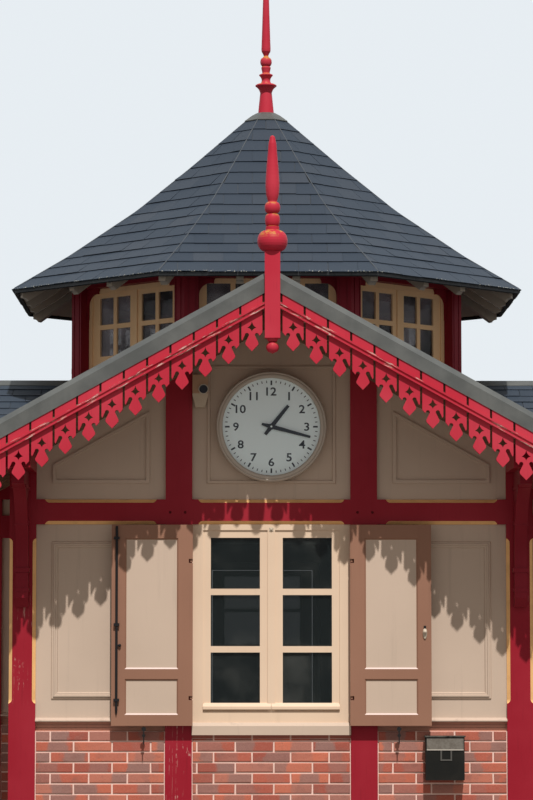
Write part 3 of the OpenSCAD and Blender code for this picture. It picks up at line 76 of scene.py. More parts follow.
def place_lights():
    """A sun 56 degrees high and 8 degrees to the right, and a pale room that fills the shade."""
    sun = in_scene("sun", bpy.data.lights.new("sun", "SUN"))
    sun.data.energy = 4.1
    sun.data.angle = math.radians(0.65)
    sun.data.color = (1.0, 0.97, 0.93)
    sun.location = (1.6, -11.9, 18)
    aim(sun, (0, 0, 0))
    world = bpy.data.worlds.new("studio")
    scene.world = world
    world.use_nodes = True
    tree = world.node_tree
    room = tree.nodes["Background"]
    room.inputs["Color"].default_value = (1.0, 0.95, 0.90, 1)
    room.inputs["Strength"].default_value = 0.38
    backdrop = tree.nodes.new("ShaderNodeBackground")
    backdrop.inputs["Color"].default_value = (0.80, 0.85, 0.89, 1)
    backdrop.inputs["Strength"].default_value = 1.0
    path = tree.nodes.new("ShaderNodeLightPath")
    seen = path.outputs["Is Camera Ray"]
    for ray in ("Is Transmission Ray", "Is Glossy Ray"):
        greater = tree.nodes.new("ShaderNodeMath")
        greater.operation = "MAXIMUM"
        tree.links.new(seen, greater.inputs[0])
        tree.links.new(path.outputs[ray], greater.inputs[1])
        seen = greater.outputs[0]
    either = tree.nodes.new("ShaderNodeMixShader")
    tree.links.new(seen, either.inputs[0])
    tree.links.new(room.outputs[0], either.inputs[1])
    tree.links.new(backdrop.outputs[0], either.inputs[2])
    tree.links.new(either.outputs[0], tree.nodes["World Output"].inputs["Surface"])


def place_floor():
    """A flat sheet under the building, pale to the camera, which throws little light up at the eaves."""
    mesh = bpy.data.meshes.new("studio_floor")
    mesh.from_pydata([(-60, -60, 0), (60, -60, 0), (60, 60, 0), (-60, 60, 0)], [], [(0, 1, 2, 3)])
    floor = in_scene("studio_floor", mesh)
    pale = bpy.data.materials.new("studio_floor")
    pale.use_nodes = True
    tree = pale.node_tree
    path = tree.nodes.new("ShaderNodeLightPath")
    tint = tree.nodes.new("ShaderNodeMix")
    tint.data_type = "RGBA"
    tint.inputs[6].default_value = (0.20, 0.185, 0.165, 1)
    tint.inputs[7].default_value = (0.62, 0.62, 0.61, 1)
    tree.links.new(path.outputs["Is Camera Ray"], tint.inputs[0])
    tree.links.new(tint.outputs[2], tree.nodes["Principled BSDF"].inputs["Base Color"])
    tree.nodes["Principled BSDF"].inputs["Roughness"].default_value = 0.9
    mesh.materials.append(pale)


place_camera()
place_lights()
place_floor()


# Materials

class Wire:
    """One output socket. Arithmetic and comparisons on it add Math nodes, with numbers on either side."""

    def __init__(self, finish, socket):
        self.finish, self.socket = finish, socket

    def math(self, operation, *values):
        return self.finish.add("ShaderNodeMath", {"operation": operation}, self, *values)

    def __add__(self, other):
        return self.math("ADD", other)

    __radd__ = __add__

    def __mul__(self, other):
        return self.math("MULTIPLY", other)

    __rmul__ = __mul__

    def __sub__(self, other):
        return self.math("SUBTRACT", other)

    def __rsub__(self, other):
        return self.finish.add("ShaderNodeMath", {"operation": "SUBTRACT"}, other, self)

    def __truediv__(self, other):
        return self.math("DIVIDE", other)

    def __pow__(self, other):
        return self.math("POWER", other)

    def __gt__(self, other):
        return self.math("GREATER_THAN", other)

    def __lt__(self, other):
        return self.math("LESS_THAN", other)

    def __abs__(self):
        return self.math("ABSOLUTE")

    def part(self):
        """What lies past the whole number."""
        return self.math("FRACT")

    def least(self, other):
        return self.math("MINIMUM", other)

    def most(self, other):
        return self.math("MAXIMUM", other)

    def rise(self, low, high):
        """0 below low and 1 above high, smooth between them."""
        return self.finish.add("ShaderNodeMapRange", {"interpolation_type": "SMOOTHSTEP"}, self, low, high)


class Finish:
    """One material: its Principled shader, and the nodes that its patterns add."""

    def __init__(self, name, **constants):
        self.material = bpy.data.materials.new(name)
        self.material.use_nodes = True
        self.tree = self.material.node_tree
        self.shader = self.tree.nodes["Principled BSDF"]
        for socket, value in constants.items():
            self.shader.inputs[socket.replace("_", " ")].default_value = value
        self.place = self.add("ShaderNodeTexCoord", {}, output="Object")
        facing = self.add("ShaderNodeTexCoord", {}, output="Normal")
        self.x, self.y, self.z = self.parts(self.place)
        self.nx, self.ny, self.nz = self.parts(facing)

    def feed(self, socket, value):
        """Links a socket to a wire, or gives it a number, a vector or a colour of three numbers."""
        if isinstance(value, Wire):
            self.tree.links.new(value.socket, socket)
        elif socket.type == "RGBA":
            socket.default_value = (*value, 1)
        else:
            socket.default_value = value

    def add(self, kind, settings, *values, output=0, **named):
        """Adds a node of a kind with its settings, then gives its inputs their values or links."""
        node = self.tree.nodes.new(kind)
        for key, value in settings.items():
            if key == "stops":
                ramp = node.color_ramp
                while len(ramp.elements) < len(value):
                    ramp.elements.new(0.5)
                for element, (at, colour) in zip(ramp.elements, value):
                    element.position, element.color = at, (*colour, 1)
            else:
                setattr(node, key, value)
        for socket, value in zip(node.inputs, values):
            self.feed(socket, value)
        for key, value in named.items():
            self.feed(node.inputs[key.replace("_", " ")], value)
        return Wire(self, node.outputs[output])

    def parts(self, vector):
        node = self.tree.nodes.new("ShaderNodeSeparateXYZ")
        self.tree.links.new(vector.socket, node.inputs[0])
        return [Wire(self, socket) for socket in node.outputs]

    def vector(self, x, y, z):
        return self.add("ShaderNodeCombineXYZ", {}, x, y, z)

    def noise(self, scale, detail=4.0, rough=0.55, where=None, stretch=(1, 1, 1)):
        """Cloudy numbers from 0 to 1, about 0.5 on average; stretch multiplies the place along each axis."""
        if where is None:
            where = self.place
        if stretch != (1, 1, 1):
            where = self.add("ShaderNodeVectorMath", {"operation": "MULTIPLY"}, where, stretch)
        return self.add("ShaderNodeTexNoise", {"noise_dimensions": "3D"}, Vector=where, Scale=scale,
                        Detail=detail, Roughness=rough)

    def specks(self, scale, size):
        """1 inside small round spots, one to a cell of a random pattern."""
        spot = self.add("ShaderNodeTexVoronoi", {"feature": "F1"}, Vector=self.place, Scale=scale)
        return spot.rise(size, size * 0.6)

    def ramp(self, value, *stops):
        return self.add("ShaderNodeValToRGB", {"stops": stops}, value)

    def mix(self, share, first, second):
        """Colour between two, by a share from 0 to 1."""
        node = self.tree.nodes.new("ShaderNodeMix")
        node.data_type = "RGBA"
        for socket, value in zip((node.inputs[0], node.inputs[6], node.inputs[7]), (share, first, second)):
            self.feed(socket, value)
        return Wire(self, node.outputs[2])

    def own(self, name):
        """A number that the mesh carries on its faces."""
        return self.add("ShaderNodeAttribute", {"attribute_name": name}, output="Fac")

    def colour(self, value):
        self.feed(self.shader.inputs["Base Color"], value)

    def rough(self, value):
        self.feed(self.shader.inputs["Roughness"], value)

    def relief(self, height, depth):
        """Bumps the surface by a height from 0 to 1, times a depth in metres."""
        bump = self.add("ShaderNodeBump", {}, Strength=1.0, Distance=depth, Height=height)
        self.feed(self.shader.inputs["Normal"], bump)

    def along_wall(self):
        """Distance along an upright wall: x on walls that face front or back, y on the others."""
        side = abs(self.nx) > abs(self.ny)
        return self.x + side * (self.y - self.x)


def shaded(colour, share):
    """A colour at a share of its strength."""
    return tuple(c * share for c in colour)


def painted_timber(name, paint, faded, dark, chamfer=None, flaking=0.0, gloss=0.38, cracks=0.0, lichen=0.0):
    """Oil paint on timber: brush marks along the upright grain, fading, dirt, flakes down to pale primer,
    fine upright cracks with pale lips, and yellow lichen where rain lies."""
    f = Finish(name, IOR=1.46, Specular_IOR_Level=0.15)
    grain = f.noise(1.0, 5, 0.6, stretch=(90, 90, 5))
    broad = f.noise(1.7, 3, 0.5)
    fine = f.noise(60, 3, 0.6)
    colour = f.mix(broad.rise(0.35, 0.68), paint, faded)
    colour = f.mix(grain.rise(0.55, 0.8) * 0.35, colour, dark)
    if chamfer:
        corner = abs(f.nx * f.ny).most(abs(f.ny * f.nz)).most(abs(f.nx * f.nz)).rise(0.2, 0.35)
        warm = f.mix(f.noise(9, 4).rise(0.4, 0.7) * 0.5, chamfer, shaded(chamfer, 0.72))
        colour = f.mix(corner, colour, warm)
    if cracks:
        vein = abs(f.noise(1.0, 3, 0.5, stretch=(34, 34, 1.3)) - 0.5).rise(0.008, 0.002)
        vein = vein * f.noise(2.3, 2).rise(0.55, 0.63) * f.noise(30, 3).rise(0.45, 0.58)
        vein = vein * f.z.rise(2.25, 2.0)  # below the rail
        colour = f.mix(vein * cracks, colour, (0.66, 0.40, 0.34))
    if lichen:
        grown = f.nz.rise(0.15, 0.7) * f.noise(26, 5, 0.7).rise(0.47, 0.55)
        colour = f.mix(grown * lichen, colour, (0.50, 0.27, 0.045))
    if flaking:
        # The pattern lies along the sloping boards, which fall by about 0.53
        side = abs(f.x) > abs(f.y)
        run = f.x + side * (f.y - f.x)
        batten = f.vector(run, (f.z + abs(run) * 0.53) * 7, side * 5)
        island = f.noise(1.9, 3, 0.5, where=batten, stretch=(1, 0.2, 1))
        streak = f.noise(11, 5, 0.62, where=batten)
        bare = (island.rise(0.68 - flaking, 0.76 - flaking) * streak.rise(0.50, 0.66)).rise(0.15, 0.6)
        primer = f.mix(f.noise(60, 3, 0.6).rise(0.4, 0.6), (0.62, 0.28, 0.24), (0.66, 0.47, 0.42))
        colour = f.mix(bare * 0.9, colour, primer)
        f.relief(grain * 0.4 + fine * 0.2 - bare * 0.8, 0.0012)
        f.rough(gloss + bare * 0.35 + fine * 0.12)
    else:
        f.relief(grain * 0.5 + fine * 0.3, 0.0006)
        f.rough(gloss + fine * 0.14)
    f.colour(colour)
    return f.material


def panel_paint(name, paint, shade, dirt=0.3, ledge_paint_and_highlight=None, band=None):
    """Satin paint on boards: faint roller texture, cloudy shade, streaks of rain dirt that run down. Beads
    that face
    up turn paler: their own pale paint with a painted highlight. A band is the brick colour of a sill's lower
    edge."""
    f = Finish(name, IOR=1.45, Specular_IOR_Level=0.22)
    cloud = f.noise(1.1, 4, 0.5)
    streak = f.noise(1.0, 4, 0.6, stretch=(26, 26, 1.2))
    roller = f.noise(420, 2, 0.5)
    colour = f.mix(cloud.rise(0.3, 0.75), paint, shade)
    colour = f.mix(streak.rise(0.55, 0.82) * dirt, colour, shaded(shade, 0.6))
    # Faces that point up, below the rail, turn pale: partly the beads' own paint, partly a painted highlight
    if ledge_paint_and_highlight:
        facing_up, under_rail = f.nz > 0.3, f.z < 2.2
        colour = f.mix(facing_up * under_rail, colour, ledge_paint_and_highlight)
    if band:
        first_joint, band_top = 0.345, 1.0618
        joint = abs(((f.along_wall() + first_joint) / PITCH).part() - 0.5) > 0.478
        colour = f.mix(f.z < band_top, colour, f.mix(joint, band, (0.62, 0.42, 0.35)))
    f.colour(colour)
    f.rough(0.46 + streak * 0.18)
    f.relief(roller * 0.5 + f.noise(1.0, 3, stretch=(70, 70, 4)) * 0.5, 0.0004)
    return f.material


def bare_timber(name, pale, dark):
    """Stained timber with grain along its long fibres and darker knots."""
    f = Finish(name, IOR=1.45)
    fibre = f.noise(1.0, 6, 0.65, stretch=(14, 14, 60))
    cloud = f.noise(2.2, 3)
    f.colour(f.mix(fibre.rise(0.3, 0.7) * 0.7 + cloud * 0.3, dark, pale))
    f.rough(0.62 + fibre * 0.2)
    f.relief(fibre, 0.0008)
    return f.material


def fired_brick():
    """Brick faces: a tone for each brick, smoked grey at one end or in the middle, sand and small pits."""
    f = Finish("brick", IOR=1.45, Specular_IOR_Level=0.2)
    tone = f.own("tone")
    smoke = f.noise(9, 4, 0.6)
    grain = f.noise(160, 4, 0.65)
    colour = f.ramp(tone, (0.0, (0.33, 0.086, 0.062)), (0.45, (0.43, 0.113, 0.074)),
                    (0.8, (0.54, 0.155, 0.092)), (1.0, (0.40, 0.165, 0.125)))
    way = f.own("way")
    past = f.along_wall() - f.own("split")
    past = past * way + (1 - abs(way)) * (0.06 - abs(past)) + (smoke - 0.5) * 0.10
    colour = f.mix(past.rise(-0.008, 0.012) * f.own("smoked"), colour, (0.27, 0.155, 0.135))
    colour = f.mix(smoke.rise(0.52, 0.66) * 0.4, colour, (0.24, 0.11, 0.09))
    colour = f.mix(grain.rise(0.45, 0.8) * 0.35, colour, (0.52, 0.26, 0.20))
    pits = f.specks(120, 0.22)
    f.colour(f.mix(pits * 0.4, colour, (0.13, 0.055, 0.045)))
    f.rough(0.82 + grain * 0.12)
    f.relief(grain * 0.7 - pits * 0.6, 0.0012)
    return f.material


def lime_mortar():
    """Pale pink joints: sandy, with a little dirt."""
    f = Finish("mortar", IOR=1.45, Specular_IOR_Level=0.2)
    sand = f.noise(260, 4, 0.7)
    dirt = f.noise(3.0, 4, 0.6)
    f.colour(f.mix(dirt.rise(0.45, 0.75) * 0.5 + sand * 0.2, (0.85, 0.60, 0.52), (0.62, 0.42, 0.35)))
    f.rough(0.9)
    f.relief(sand, 0.0015)
    return f.material


def roofing_slate():
    """Split slate: a near tone for each slate, fine split lines, and pale crumbs of lichen at low eaves."""
    f = Finish("slate", IOR=1.45, Specular_IOR_Level=0.25)
    tone = f.own("tone")
    edge = f.own("edge")
    cloud = f.noise(2.4, 4, 0.55)
    split = f.noise(34, 5, 0.65)
    colour = f.ramp(tone * 0.7 + cloud * 0.3, (0.1, (0.021, 0.031, 0.047)), (0.5, (0.026, 0.037, 0.054)),
                    (0.95, (0.036, 0.045, 0.060)))
    colour = f.mix(split.rise(0.5, 0.8) * 0.15, colour, (0.070, 0.080, 0.092))
    # Painted shade: edge faces darkened, most on the lower edge, for the shadow line under each course
    colour = f.mix(edge * 0.85, colour, (0.012, 0.014, 0.017))
    crumbs = (f.specks(60, 0.30) + f.specks(27, 0.14)).least(1.0) * f.noise(3.1, 3).rise(0.38, 0.48)
    crumbs = crumbs * f.own("eave") * f.z.rise(4.098, 4.082)  # the lowest edge of the first course
    f.colour(f.mix(crumbs * 0.9, colour, (0.62, 0.61, 0.52)))
    f.rough(0.55 + split * 0.12)
    f.relief(split, 0.0010)
    return f.material


def roof_underside():
    """Dark felt on top and planed boards, 110 mm wide with open joints, where the roof faces down."""
    f = Finish("roof_boards", IOR=1.45)
    along = f.along_wall() / 0.11
    joint = abs(along.part() - 0.5).rise(0.44, 0.47)
    grain = f.noise(1.0, 5, 0.6, stretch=(40, 40, 40))
    wood = f.mix(grain, (0.34, 0.27, 0.20), (0.48, 0.40, 0.31))
    wood = f.mix(joint * 0.8, wood, (0.06, 0.045, 0.03))
    f.colour(f.mix(f.nz.rise(-0.3, -0.1), wood, (0.05, 0.055, 0.06)))
    f.rough(0.7)
    f.relief(grain * 0.2 - joint, 0.003)
    return f.material


def weathered_zinc():
    """Grey zinc: soft cloudy bloom, run marks down the slope, and faint dents."""
    f = Finish("zinc", Metallic=0.3, IOR=1.5)
    bloom = f.noise(5.0, 5, 0.6)
    runs = f.noise(1.0, 4, 0.6, stretch=(22, 22, 2.5))
    colour = f.mix(bloom.rise(0.35, 0.7), (0.078, 0.081, 0.077), (0.116, 0.119, 0.112))
    f.colour(f.mix(runs.rise(0.5, 0.8) * 0.4, colour, (0.075, 0.08, 0.078)))
    f.rough(0.44 + bloom * 0.22)
    f.relief(f.noise(2.6, 2), 0.004)
    return f.material


def moulded_bar():
    """Beige paint on the nose of the drip bars; the recess under it is brown, paler than the shutters' as
    painted light.
    """
    f = Finish("drip_bar", IOR=1.45, Specular_IOR_Level=0.22)
    streak = f.noise(1.0, 4, 0.6, stretch=(26, 26, 1.2))
    under = f.z.rise(1.1405, 1.1385)  # below the nose
    # The recess takes the shutters' brown hue made paler: painted light that undoes the shadow under the nose
    colour = f.mix(under, (0.53, 0.41, 0.33), (0.47, 0.23, 0.168))
    f.colour(f.mix(streak.rise(0.5, 0.8) * 0.3, colour, (0.20, 0.13, 0.10)))
    f.rough(0.48 + streak * 0.18)
    f.relief(f.noise(300, 2, 0.5), 0.0003)
    return f.material


def letter_box():
    """Black sheet steel: a painted highlight on the lid's top, a bare strip on its flap, a dull frame round
    its lock.
    """
    lid, flap_top, flap_foot, front = 1.0505, 1.046, 0.973, -3.7515
    f = Finish("letter_box", IOR=1.47, Specular_IOR_Level=0.12)
    scuff = f.noise(34, 5, 0.7)
    cloud = f.noise(5, 4)
    colour = f.mix(cloud.rise(0.4, 0.7), (0.011, 0.011, 0.010), (0.020, 0.018, 0.015))
    proud = f.y < front
    strip = proud * (f.z > flap_foot + 0.001) * (f.z < flap_top)
    bare = f.mix(scuff.rise(0.35, 0.7), (0.33, 0.30, 0.26), (0.22, 0.19, 0.16))
    colour = f.mix(strip * 0.55, colour, bare)
    colour = f.mix(proud * (f.z > flap_foot) * (f.z < flap_foot + 0.006) * 0.8, colour, (0.55, 0.50, 0.44))
    colour = f.mix(proud * (f.z < flap_foot) * 0.7, colour, (0.12, 0.115, 0.105))
    # Painted highlight: faces above the lid's edge are paler grey in patches
    colour = f.mix((f.z > lid) * f.noise(14, 3).rise(0.3, 0.6) * 0.6, colour, (0.16, 0.15, 0.13))
    f.colour(f.mix(scuff.rise(0.66, 0.76) * 0.35, colour, (0.13, 0.09, 0.06)))
    f.rough(0.40 + cloud * 0.2)
    f.relief(f.noise(260, 2), 0.0003)
    return f.material


def camera_case():
    """Tan plastic, paler on its chin, with a pale ring round a dark lens."""
    lens_left, lens_z, ring, lens = 0.408, 3.130, 0.0305, 0.0252
    f = Finish("camera_case", IOR=1.47)
    cloud = f.noise(12, 3)
    colour = f.mix(f.z.rise(3.110, 3.100), (0.46, 0.27, 0.16), (0.62, 0.50, 0.37))
    colour = f.mix(cloud * 0.3, colour, (0.13, 0.09, 0.06))
    across, up = f.x + lens_left, f.z - lens_z
    radius = (across * across + up * up) ** 0.5
    front = f.y < -3.705
    colour = f.mix((radius < ring) * front, colour, (0.50, 0.44, 0.36))
    colour = f.mix((radius < lens) * front, colour, (0.005, 0.003, 0.010))
    f.colour(colour)
    f.rough(0.42 + cloud * 0.15)
    f.relief(f.noise(280, 2), 0.0002)
    return f.material


def latch_knob():
    """A pale worn knob on a dark stem."""
    f = Finish("latch_knob", IOR=1.5)
    wear = f.noise(120, 3, 0.6)
    pale = f.mix(wear, (0.50, 0.40, 0.30), (0.66, 0.58, 0.47))
    knob_back = -3.7385
    f.colour(f.mix(f.y < knob_back, (0.05, 0.035, 0.03), pale))
    f.rough(0.30 + wear * 0.2)
    f.relief(wear, 0.0002)
    return f.material


def window_glass(name, cover, haze=(0.07, 0.075, 0.07), start=0.5):
    """Thin clear panes: a dark tint over a share of what is behind, painted shade of dark rooms; faint waves;
    dust in patches.
    """
    f = Finish(name, Alpha=cover, IOR=1.5, Specular_IOR_Level=0.16)
    dust = f.noise(3.2, 4, 0.6)
    # The haze is dust; on the lantern's panes its pale colour also stands for painted reflection
    f.colour(f.mix(dust.rise(start, start + 0.4), (0.010, 0.014, 0.014), haze))
    f.rough(0.02 + dust.rise(0.55, 0.9) * 0.08)
    f.relief(f.noise(1.6, 2), 0.0015)
    return f.material


def plain_coat(name, colour, gloss, worn=(0.3, 0.3, 0.3), wear=0.3, sheen=0.5):
    """Factory paint with a fine orange-peel, scuffs and a little dust."""
    f = Finish(name, IOR=1.47, Specular_IOR_Level=sheen)
    scuff = f.noise(30, 5, 0.7)
    cloud = f.noise(4, 3)
    tint = f.mix(cloud * 0.4, colour, shaded(colour, 0.75))
    f.colour(f.mix(scuff.rise(0.62, 0.75) * wear, tint, worn))
    f.rough(gloss + cloud * 0.15)
    f.relief(f.noise(300, 2), 0.0002)
    return f.material


def pin_paint():
    """Brown paint on hinge pins and eyes, and dull black on the hold-backs below them."""
    f = Finish("pin_paint", IOR=1.47, Specular_IOR_Level=0.2)
    wear = f.noise(60, 3, 0.6)
    paint = f.mix(wear * 0.5, BROWN, (0.15, 0.075, 0.05))
    below_pins = f.z < 1.2
    f.colour(f.mix(below_pins, paint, (0.014, 0.012, 0.012)))
    f.rough(0.42 + wear * 0.2)
    return f.material


def clock_plate():
    """White enamel under a thin clear cover: a faint yellowing towards its edge and a few specks of dust."""
    f = Finish("clock_face", IOR=1.5, Coat_Weight=1.0, Coat_Roughness=0.06)
    up = f.z - CLOCK_Z
    away = (f.x * f.x + up * up) ** 0.5
    dust = f.noise(40, 4, 0.6)
    # Painted light: the enamel's middle is a bright bluish white that stands for skylight on the dial in the
    # gable's shade
    colour = f.mix(away.rise(0.22, 0.30) * 0.6, (0.84, 0.98, 1.0), (0.78, 0.88, 0.88))
    f.colour(f.mix(dust.rise(0.6, 0.8) * 0.2, colour, (0.66, 0.69, 0.68)))
    f.rough(0.28 + dust * 0.1)
    return f.material


def cast_concrete():
    """Trowelled floor: sandy grain, patches of damp."""
    f = Finish("concrete", IOR=1.45)
    sand = f.noise(120, 4, 0.65)
    patch = f.noise(1.4, 4, 0.5)
    f.colour(f.mix(patch * 0.6 + sand * 0.4, (0.27, 0.26, 0.24), (0.42, 0.40, 0.37)))
    f.rough(0.85)
    f.relief(sand, 0.0012)
    return f.material


RED, RED_FADED, RED_DARK = (0.28, 0.011, 0.023), (0.325, 0.020, 0.034), (0.14, 0.007, 0.013)
BOARD, BOARD_FADED, BOARD_DARK = (0.46, 0.024, 0.046), (0.52, 0.044, 0.070), (0.26, 0.012, 0.026)
OCHRE = (0.90, 0.52, 0.22)
BEIGE, BEIGE_SHADE = (0.56, 0.436, 0.345), (0.505, 0.393, 0.31)
BROWN, BROWN_SHADE = (0.30, 0.153, 0.101), (0.255, 0.129, 0.085)

red_frame = painted_timber("red_frame", RED, RED_FADED, RED_DARK, chamfer=OCHRE, cracks=0.7)
red_board = painted_timber("red_board", BOARD, BOARD_FADED, BOARD_DARK, flaking=0.02, gloss=0.48)
red_batten = painted_timber("red_batten", BOARD, BOARD_FADED, BOARD_DARK, flaking=0.25, gloss=0.5)
red_turned = painted_timber("red_turned", BOARD, BOARD_FADED, BOARD_DARK, flaking=0.02, gloss=0.42,
                            lichen=0.8)
# A darker copy of the red paint for the eave brackets and the lantern's timber: painted shade for their place
# under the eaves
red_painted_shade = painted_timber("red_painted_shade", (0.205, 0.0085, 0.018), (0.25, 0.014, 0.026), (0.10, 0.005, 0.010))
beige = panel_paint("beige", BEIGE, BEIGE_SHADE)
sill = panel_paint("sill", BEIGE, BEIGE_SHADE, band=(0.36, 0.11, 0.08))
drip = moulded_bar()
cream = panel_paint("cream", (0.735, 0.56, 0.415), (0.68, 0.505, 0.368), dirt=0.15)
# The lantern windows' cream: more ochre than the cream below, and made brighter as painted light for its
# place under the eaves
ochre_cream_painted_light = panel_paint("ochre_cream_painted_light", (0.92, 0.61, 0.34), (0.80, 0.52, 0.28), dirt=0.25)
brown = panel_paint("brown", BROWN, BROWN_SHADE, dirt=0.2)
leaf_brown = panel_paint("leaf_brown", BROWN, BROWN_SHADE, dirt=0.2, ledge_paint_and_highlight=(0.66, 0.53, 0.49))
soffit = panel_paint("soffit", (0.42, 0.36, 0.29), (0.34, 0.29, 0.235), dirt=0.5)
stained = bare_timber("stained", (0.30, 0.17, 0.10), (0.12, 0.065, 0.04))
brick = fired_brick()
mortar = lime_mortar()
slate = roofing_slate()
roof_boards = roof_underside()
zinc = weathered_zinc()
# Painted shade: the panes' dark tint covers a share of what is behind, for the dark rooms; the door glass
# behind takes more
glass = window_glass("glass", 0.60)
dust_and_shade_glass = window_glass("dust_and_shade_glass", 0.72)
# The lantern's panes: a pale haze over most of each pane, partly dust and partly painted reflection
high_glass = window_glass("high_glass", 0.55, (0.30, 0.27, 0.30), 0.25)
iron = plain_coat("iron", (0.012, 0.011, 0.012), 0.42, worn=(0.10, 0.07, 0.05), sheen=0.2)
pins = pin_paint()
rim = plain_coat("clock_rim", (0.52, 0.45, 0.38), 0.35, worn=(0.4, 0.36, 0.3), wear=0.15)
dial = clock_plate()
ink = plain_coat("ink", (0.028, 0.036, 0.048), 0.4, wear=0.0)
peg_wood = plain_coat("peg_wood", (0.10, 0.008, 0.012), 0.7, worn=(0.03, 0.01, 0.01), sheen=0.1)
pale_metal = plain_coat("pale_metal", (0.52, 0.44, 0.34), 0.4, worn=(0.3, 0.24, 0.18))
box_steel = letter_box()
shell = camera_case()
knob = latch_knob()
concrete = cast_concrete()
lead = plain_coat("lead", (0.060, 0.068, 0.078), 0.6, worn=(0.12, 0.125, 0.13))
dark_board = plain_coat("dark_board", (0.016, 0.015, 0.016), 0.6, worn=(0.03, 0.03, 0.03), sheen=0.12)

FINISH = {
    red_frame: "corner_posts wall_posts rails wall_plates",
    red_board: "front_bargeboards back_bargeboards side_bargeboards",
    red_batten: "barge_battens",
    red_turned: "gable_finials lantern_finial",
    red_painted_shade: "eave_brackets lantern_rings lantern_posts lantern_aprons lantern_spandrels",
    drip: "weather_bars",
    sill: "window_sills",
    beige: "wall_panels left_shutter_panels right_shutter_panels side_shutter_panels",
    cream: "window_frames window_casements door_frame",
    ochre_cream_painted_light: "lantern_windows",
    brown: "entrance_door left_shutter_hinges right_shutter_hinges",
    leaf_brown: "left_shutter_frame right_shutter_frame side_shutter_frames",
    soffit: "lantern_soffit lantern_rafters",
    stained: "roof_beams rafters",
    mortar: "brickwork",
    roof_boards: "front_roof right_roof back_roof left_roof lantern_roof",
    zinc: "ridge_caps valley_gutters verge_flashings lantern_cap",
    dark_board: "lantern_fascia",
    glass: "window_glass",
    high_glass: "lantern_glass",
    dust_and_shade_glass: "door_glass",
    iron: "left_shutter_fittings",
    pins: "shutter_ironwork",
    ink: "hour_hand minute_hand",
    box_steel: "wall_box",
    knob: "right_shutter_fittings",
    rim: "clock_case",
    dial: "clock_dial",
    shell: "security_camera",
    concrete: "floor_slab",
}
for material, names in FINISH.items():
    for name in names.split():
        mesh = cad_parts[name].data
        mesh.materials.clear()
        mesh.materials.append(material)


# Pieces made of arrays

def piece(name, points, faces, material, slot, body="building", rounded=False, **numbers):
    """Makes a mesh of an array of points and an array of faces, each face a row of corners, flat unless
    rounded, with numbers for each face that its finish reads."""
    mesh = bpy.data.meshes.new(name)
    points = np.asarray(points, np.float32).reshape(-1, 3)
    faces = np.asarray(faces, np.int32)
    mesh.vertices.add(len(points))
    mesh.vertices.foreach_set("co", points.ravel())
    mesh.loops.add(faces.size)
    mesh.loops.foreach_set("vertex_index", faces.ravel())
    mesh.polygons.add(len(faces))
    mesh.polygons.foreach_set("loop_start", np.arange(0, faces.size, faces.shape[1], dtype=np.int32))
    mesh.polygons.foreach_set("use_smooth", np.full(len(faces), rounded))
    for key, values in numbers.items():
        layer = mesh.attributes.new(key, "FLOAT", "FACE")
        layer.data.foreach_set("value", np.asarray(values, np.float32).ravel())
    mesh.update(calc_edges=True)
    mesh.validate()
    mesh.materials.append(material)
    made = in_scene(name, mesh)
    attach(made, body)
    return made


def quarter_turns(points, turns):
    """Turns front-view points (x, y, z) about the upright axis by a number of quarter turns."""
    c, s = [(1, 0), (0, 1), (-1, 0), (0, -1)][turns % 4]
    x, y, z = np.moveaxis(points, -1, 0)
    return np.stack([c * x - s * y, s * x + c * y, z], -1)


# Faces of a slab between two rectangles, and of one that ends in a third and smaller rectangle
SLAB = np.array([[3, 2, 1, 0], [4, 5, 6, 7], [0, 1, 5, 4], [1, 2, 6, 5], [2, 3, 7, 6], [3, 0, 4, 7]])
WORN_SLAB = np.array([
    [3, 2, 1, 0], [0, 1, 5, 4], [1, 2, 6, 5], [2, 3, 7, 6], [3, 0, 4, 7],
    [4, 5, 9, 8], [5, 6, 10, 9], [6, 7, 11, 10], [7, 4, 8, 11], [8, 9, 10, 11],
])


def many(template, count, corners):
    """The faces of many copies of one block, each with its own corners."""
    return (template[None] + corners * np.arange(count)[:, None, None]).reshape(-1, template.shape[1])


# Bricks: courses 62.7 mm high, bricks 230 mm apart, in two courses that are laid 139 mm out of step

COURSES = 17
BEHIND_POSTS = 0.010  # from the posts' faces back to the mortar
BESIDE_POST = 0.006  # mortar between a post and the nearest brick
PROUD, ARRIS = 0.006, 0.003  # how far bricks stand out of the mortar, and their worn edges
JOINTS_AT = (0.0907, 0.2297)  # first joints of even and of odd courses, from a bay's left end
rng = np.random.default_rng(7)


def brick_bay(x0, x1, top, joints_at=JOINTS_AT):
    """Brick rectangles (left, right, bottom, top) of one bay, cut at its ends and under its top."""
    found = []
    for row in range(COURSES):
        high = BRICK_TOP - row * COURSE - 0.0015
        low, high = high - COURSE + JOINT, min(high, top - 0.002)
        joints = np.arange(x0 + joints_at[row % 2] - PITCH, x1 + PITCH, PITCH)
        left = np.clip(joints + JOINT / 2, x0 + BESIDE_POST, x1 - BESIDE_POST)
        right = np.clip(joints + PITCH - JOINT / 2, x0 + BESIDE_POST, x1 - BESIDE_POST)
        keep = right - left > 0.011
        found.append(np.stack(np.broadcast_arrays(left, right, low, high), -1)[keep])
    return np.concatenate(found)


def brick_blocks(cells, face):
    """Each brick is a block with worn arrises: a back rectangle, a side rectangle and a smaller front one."""
    left, right, low, high = cells.T
    n = len(cells)
    corners = np.moveaxis(np.array([[left, low], [right, low], [right, high], [left, high]]), -1, 0)
    inward = np.array([[1, 1], [-1, 1], [-1, -1], [1, -1]]) * ARRIS
    rings = [corners, corners + rng.normal(0, 0.0005, corners.shape),
             corners + inward * rng.uniform(0.7, 1.5, (n, 1, 1))]
    out = [np.full((n, 4), face + 0.004), np.full((n, 4), face - PROUD + ARRIS),
           face - PROUD + rng.normal(0, 0.0006, (n, 4)) + rng.normal(0, 0.0005, (n, 1))]
    return np.concatenate([np.stack([ring[..., 0], y, ring[..., 1]], -1) for ring, y in zip(rings, out)], 1)


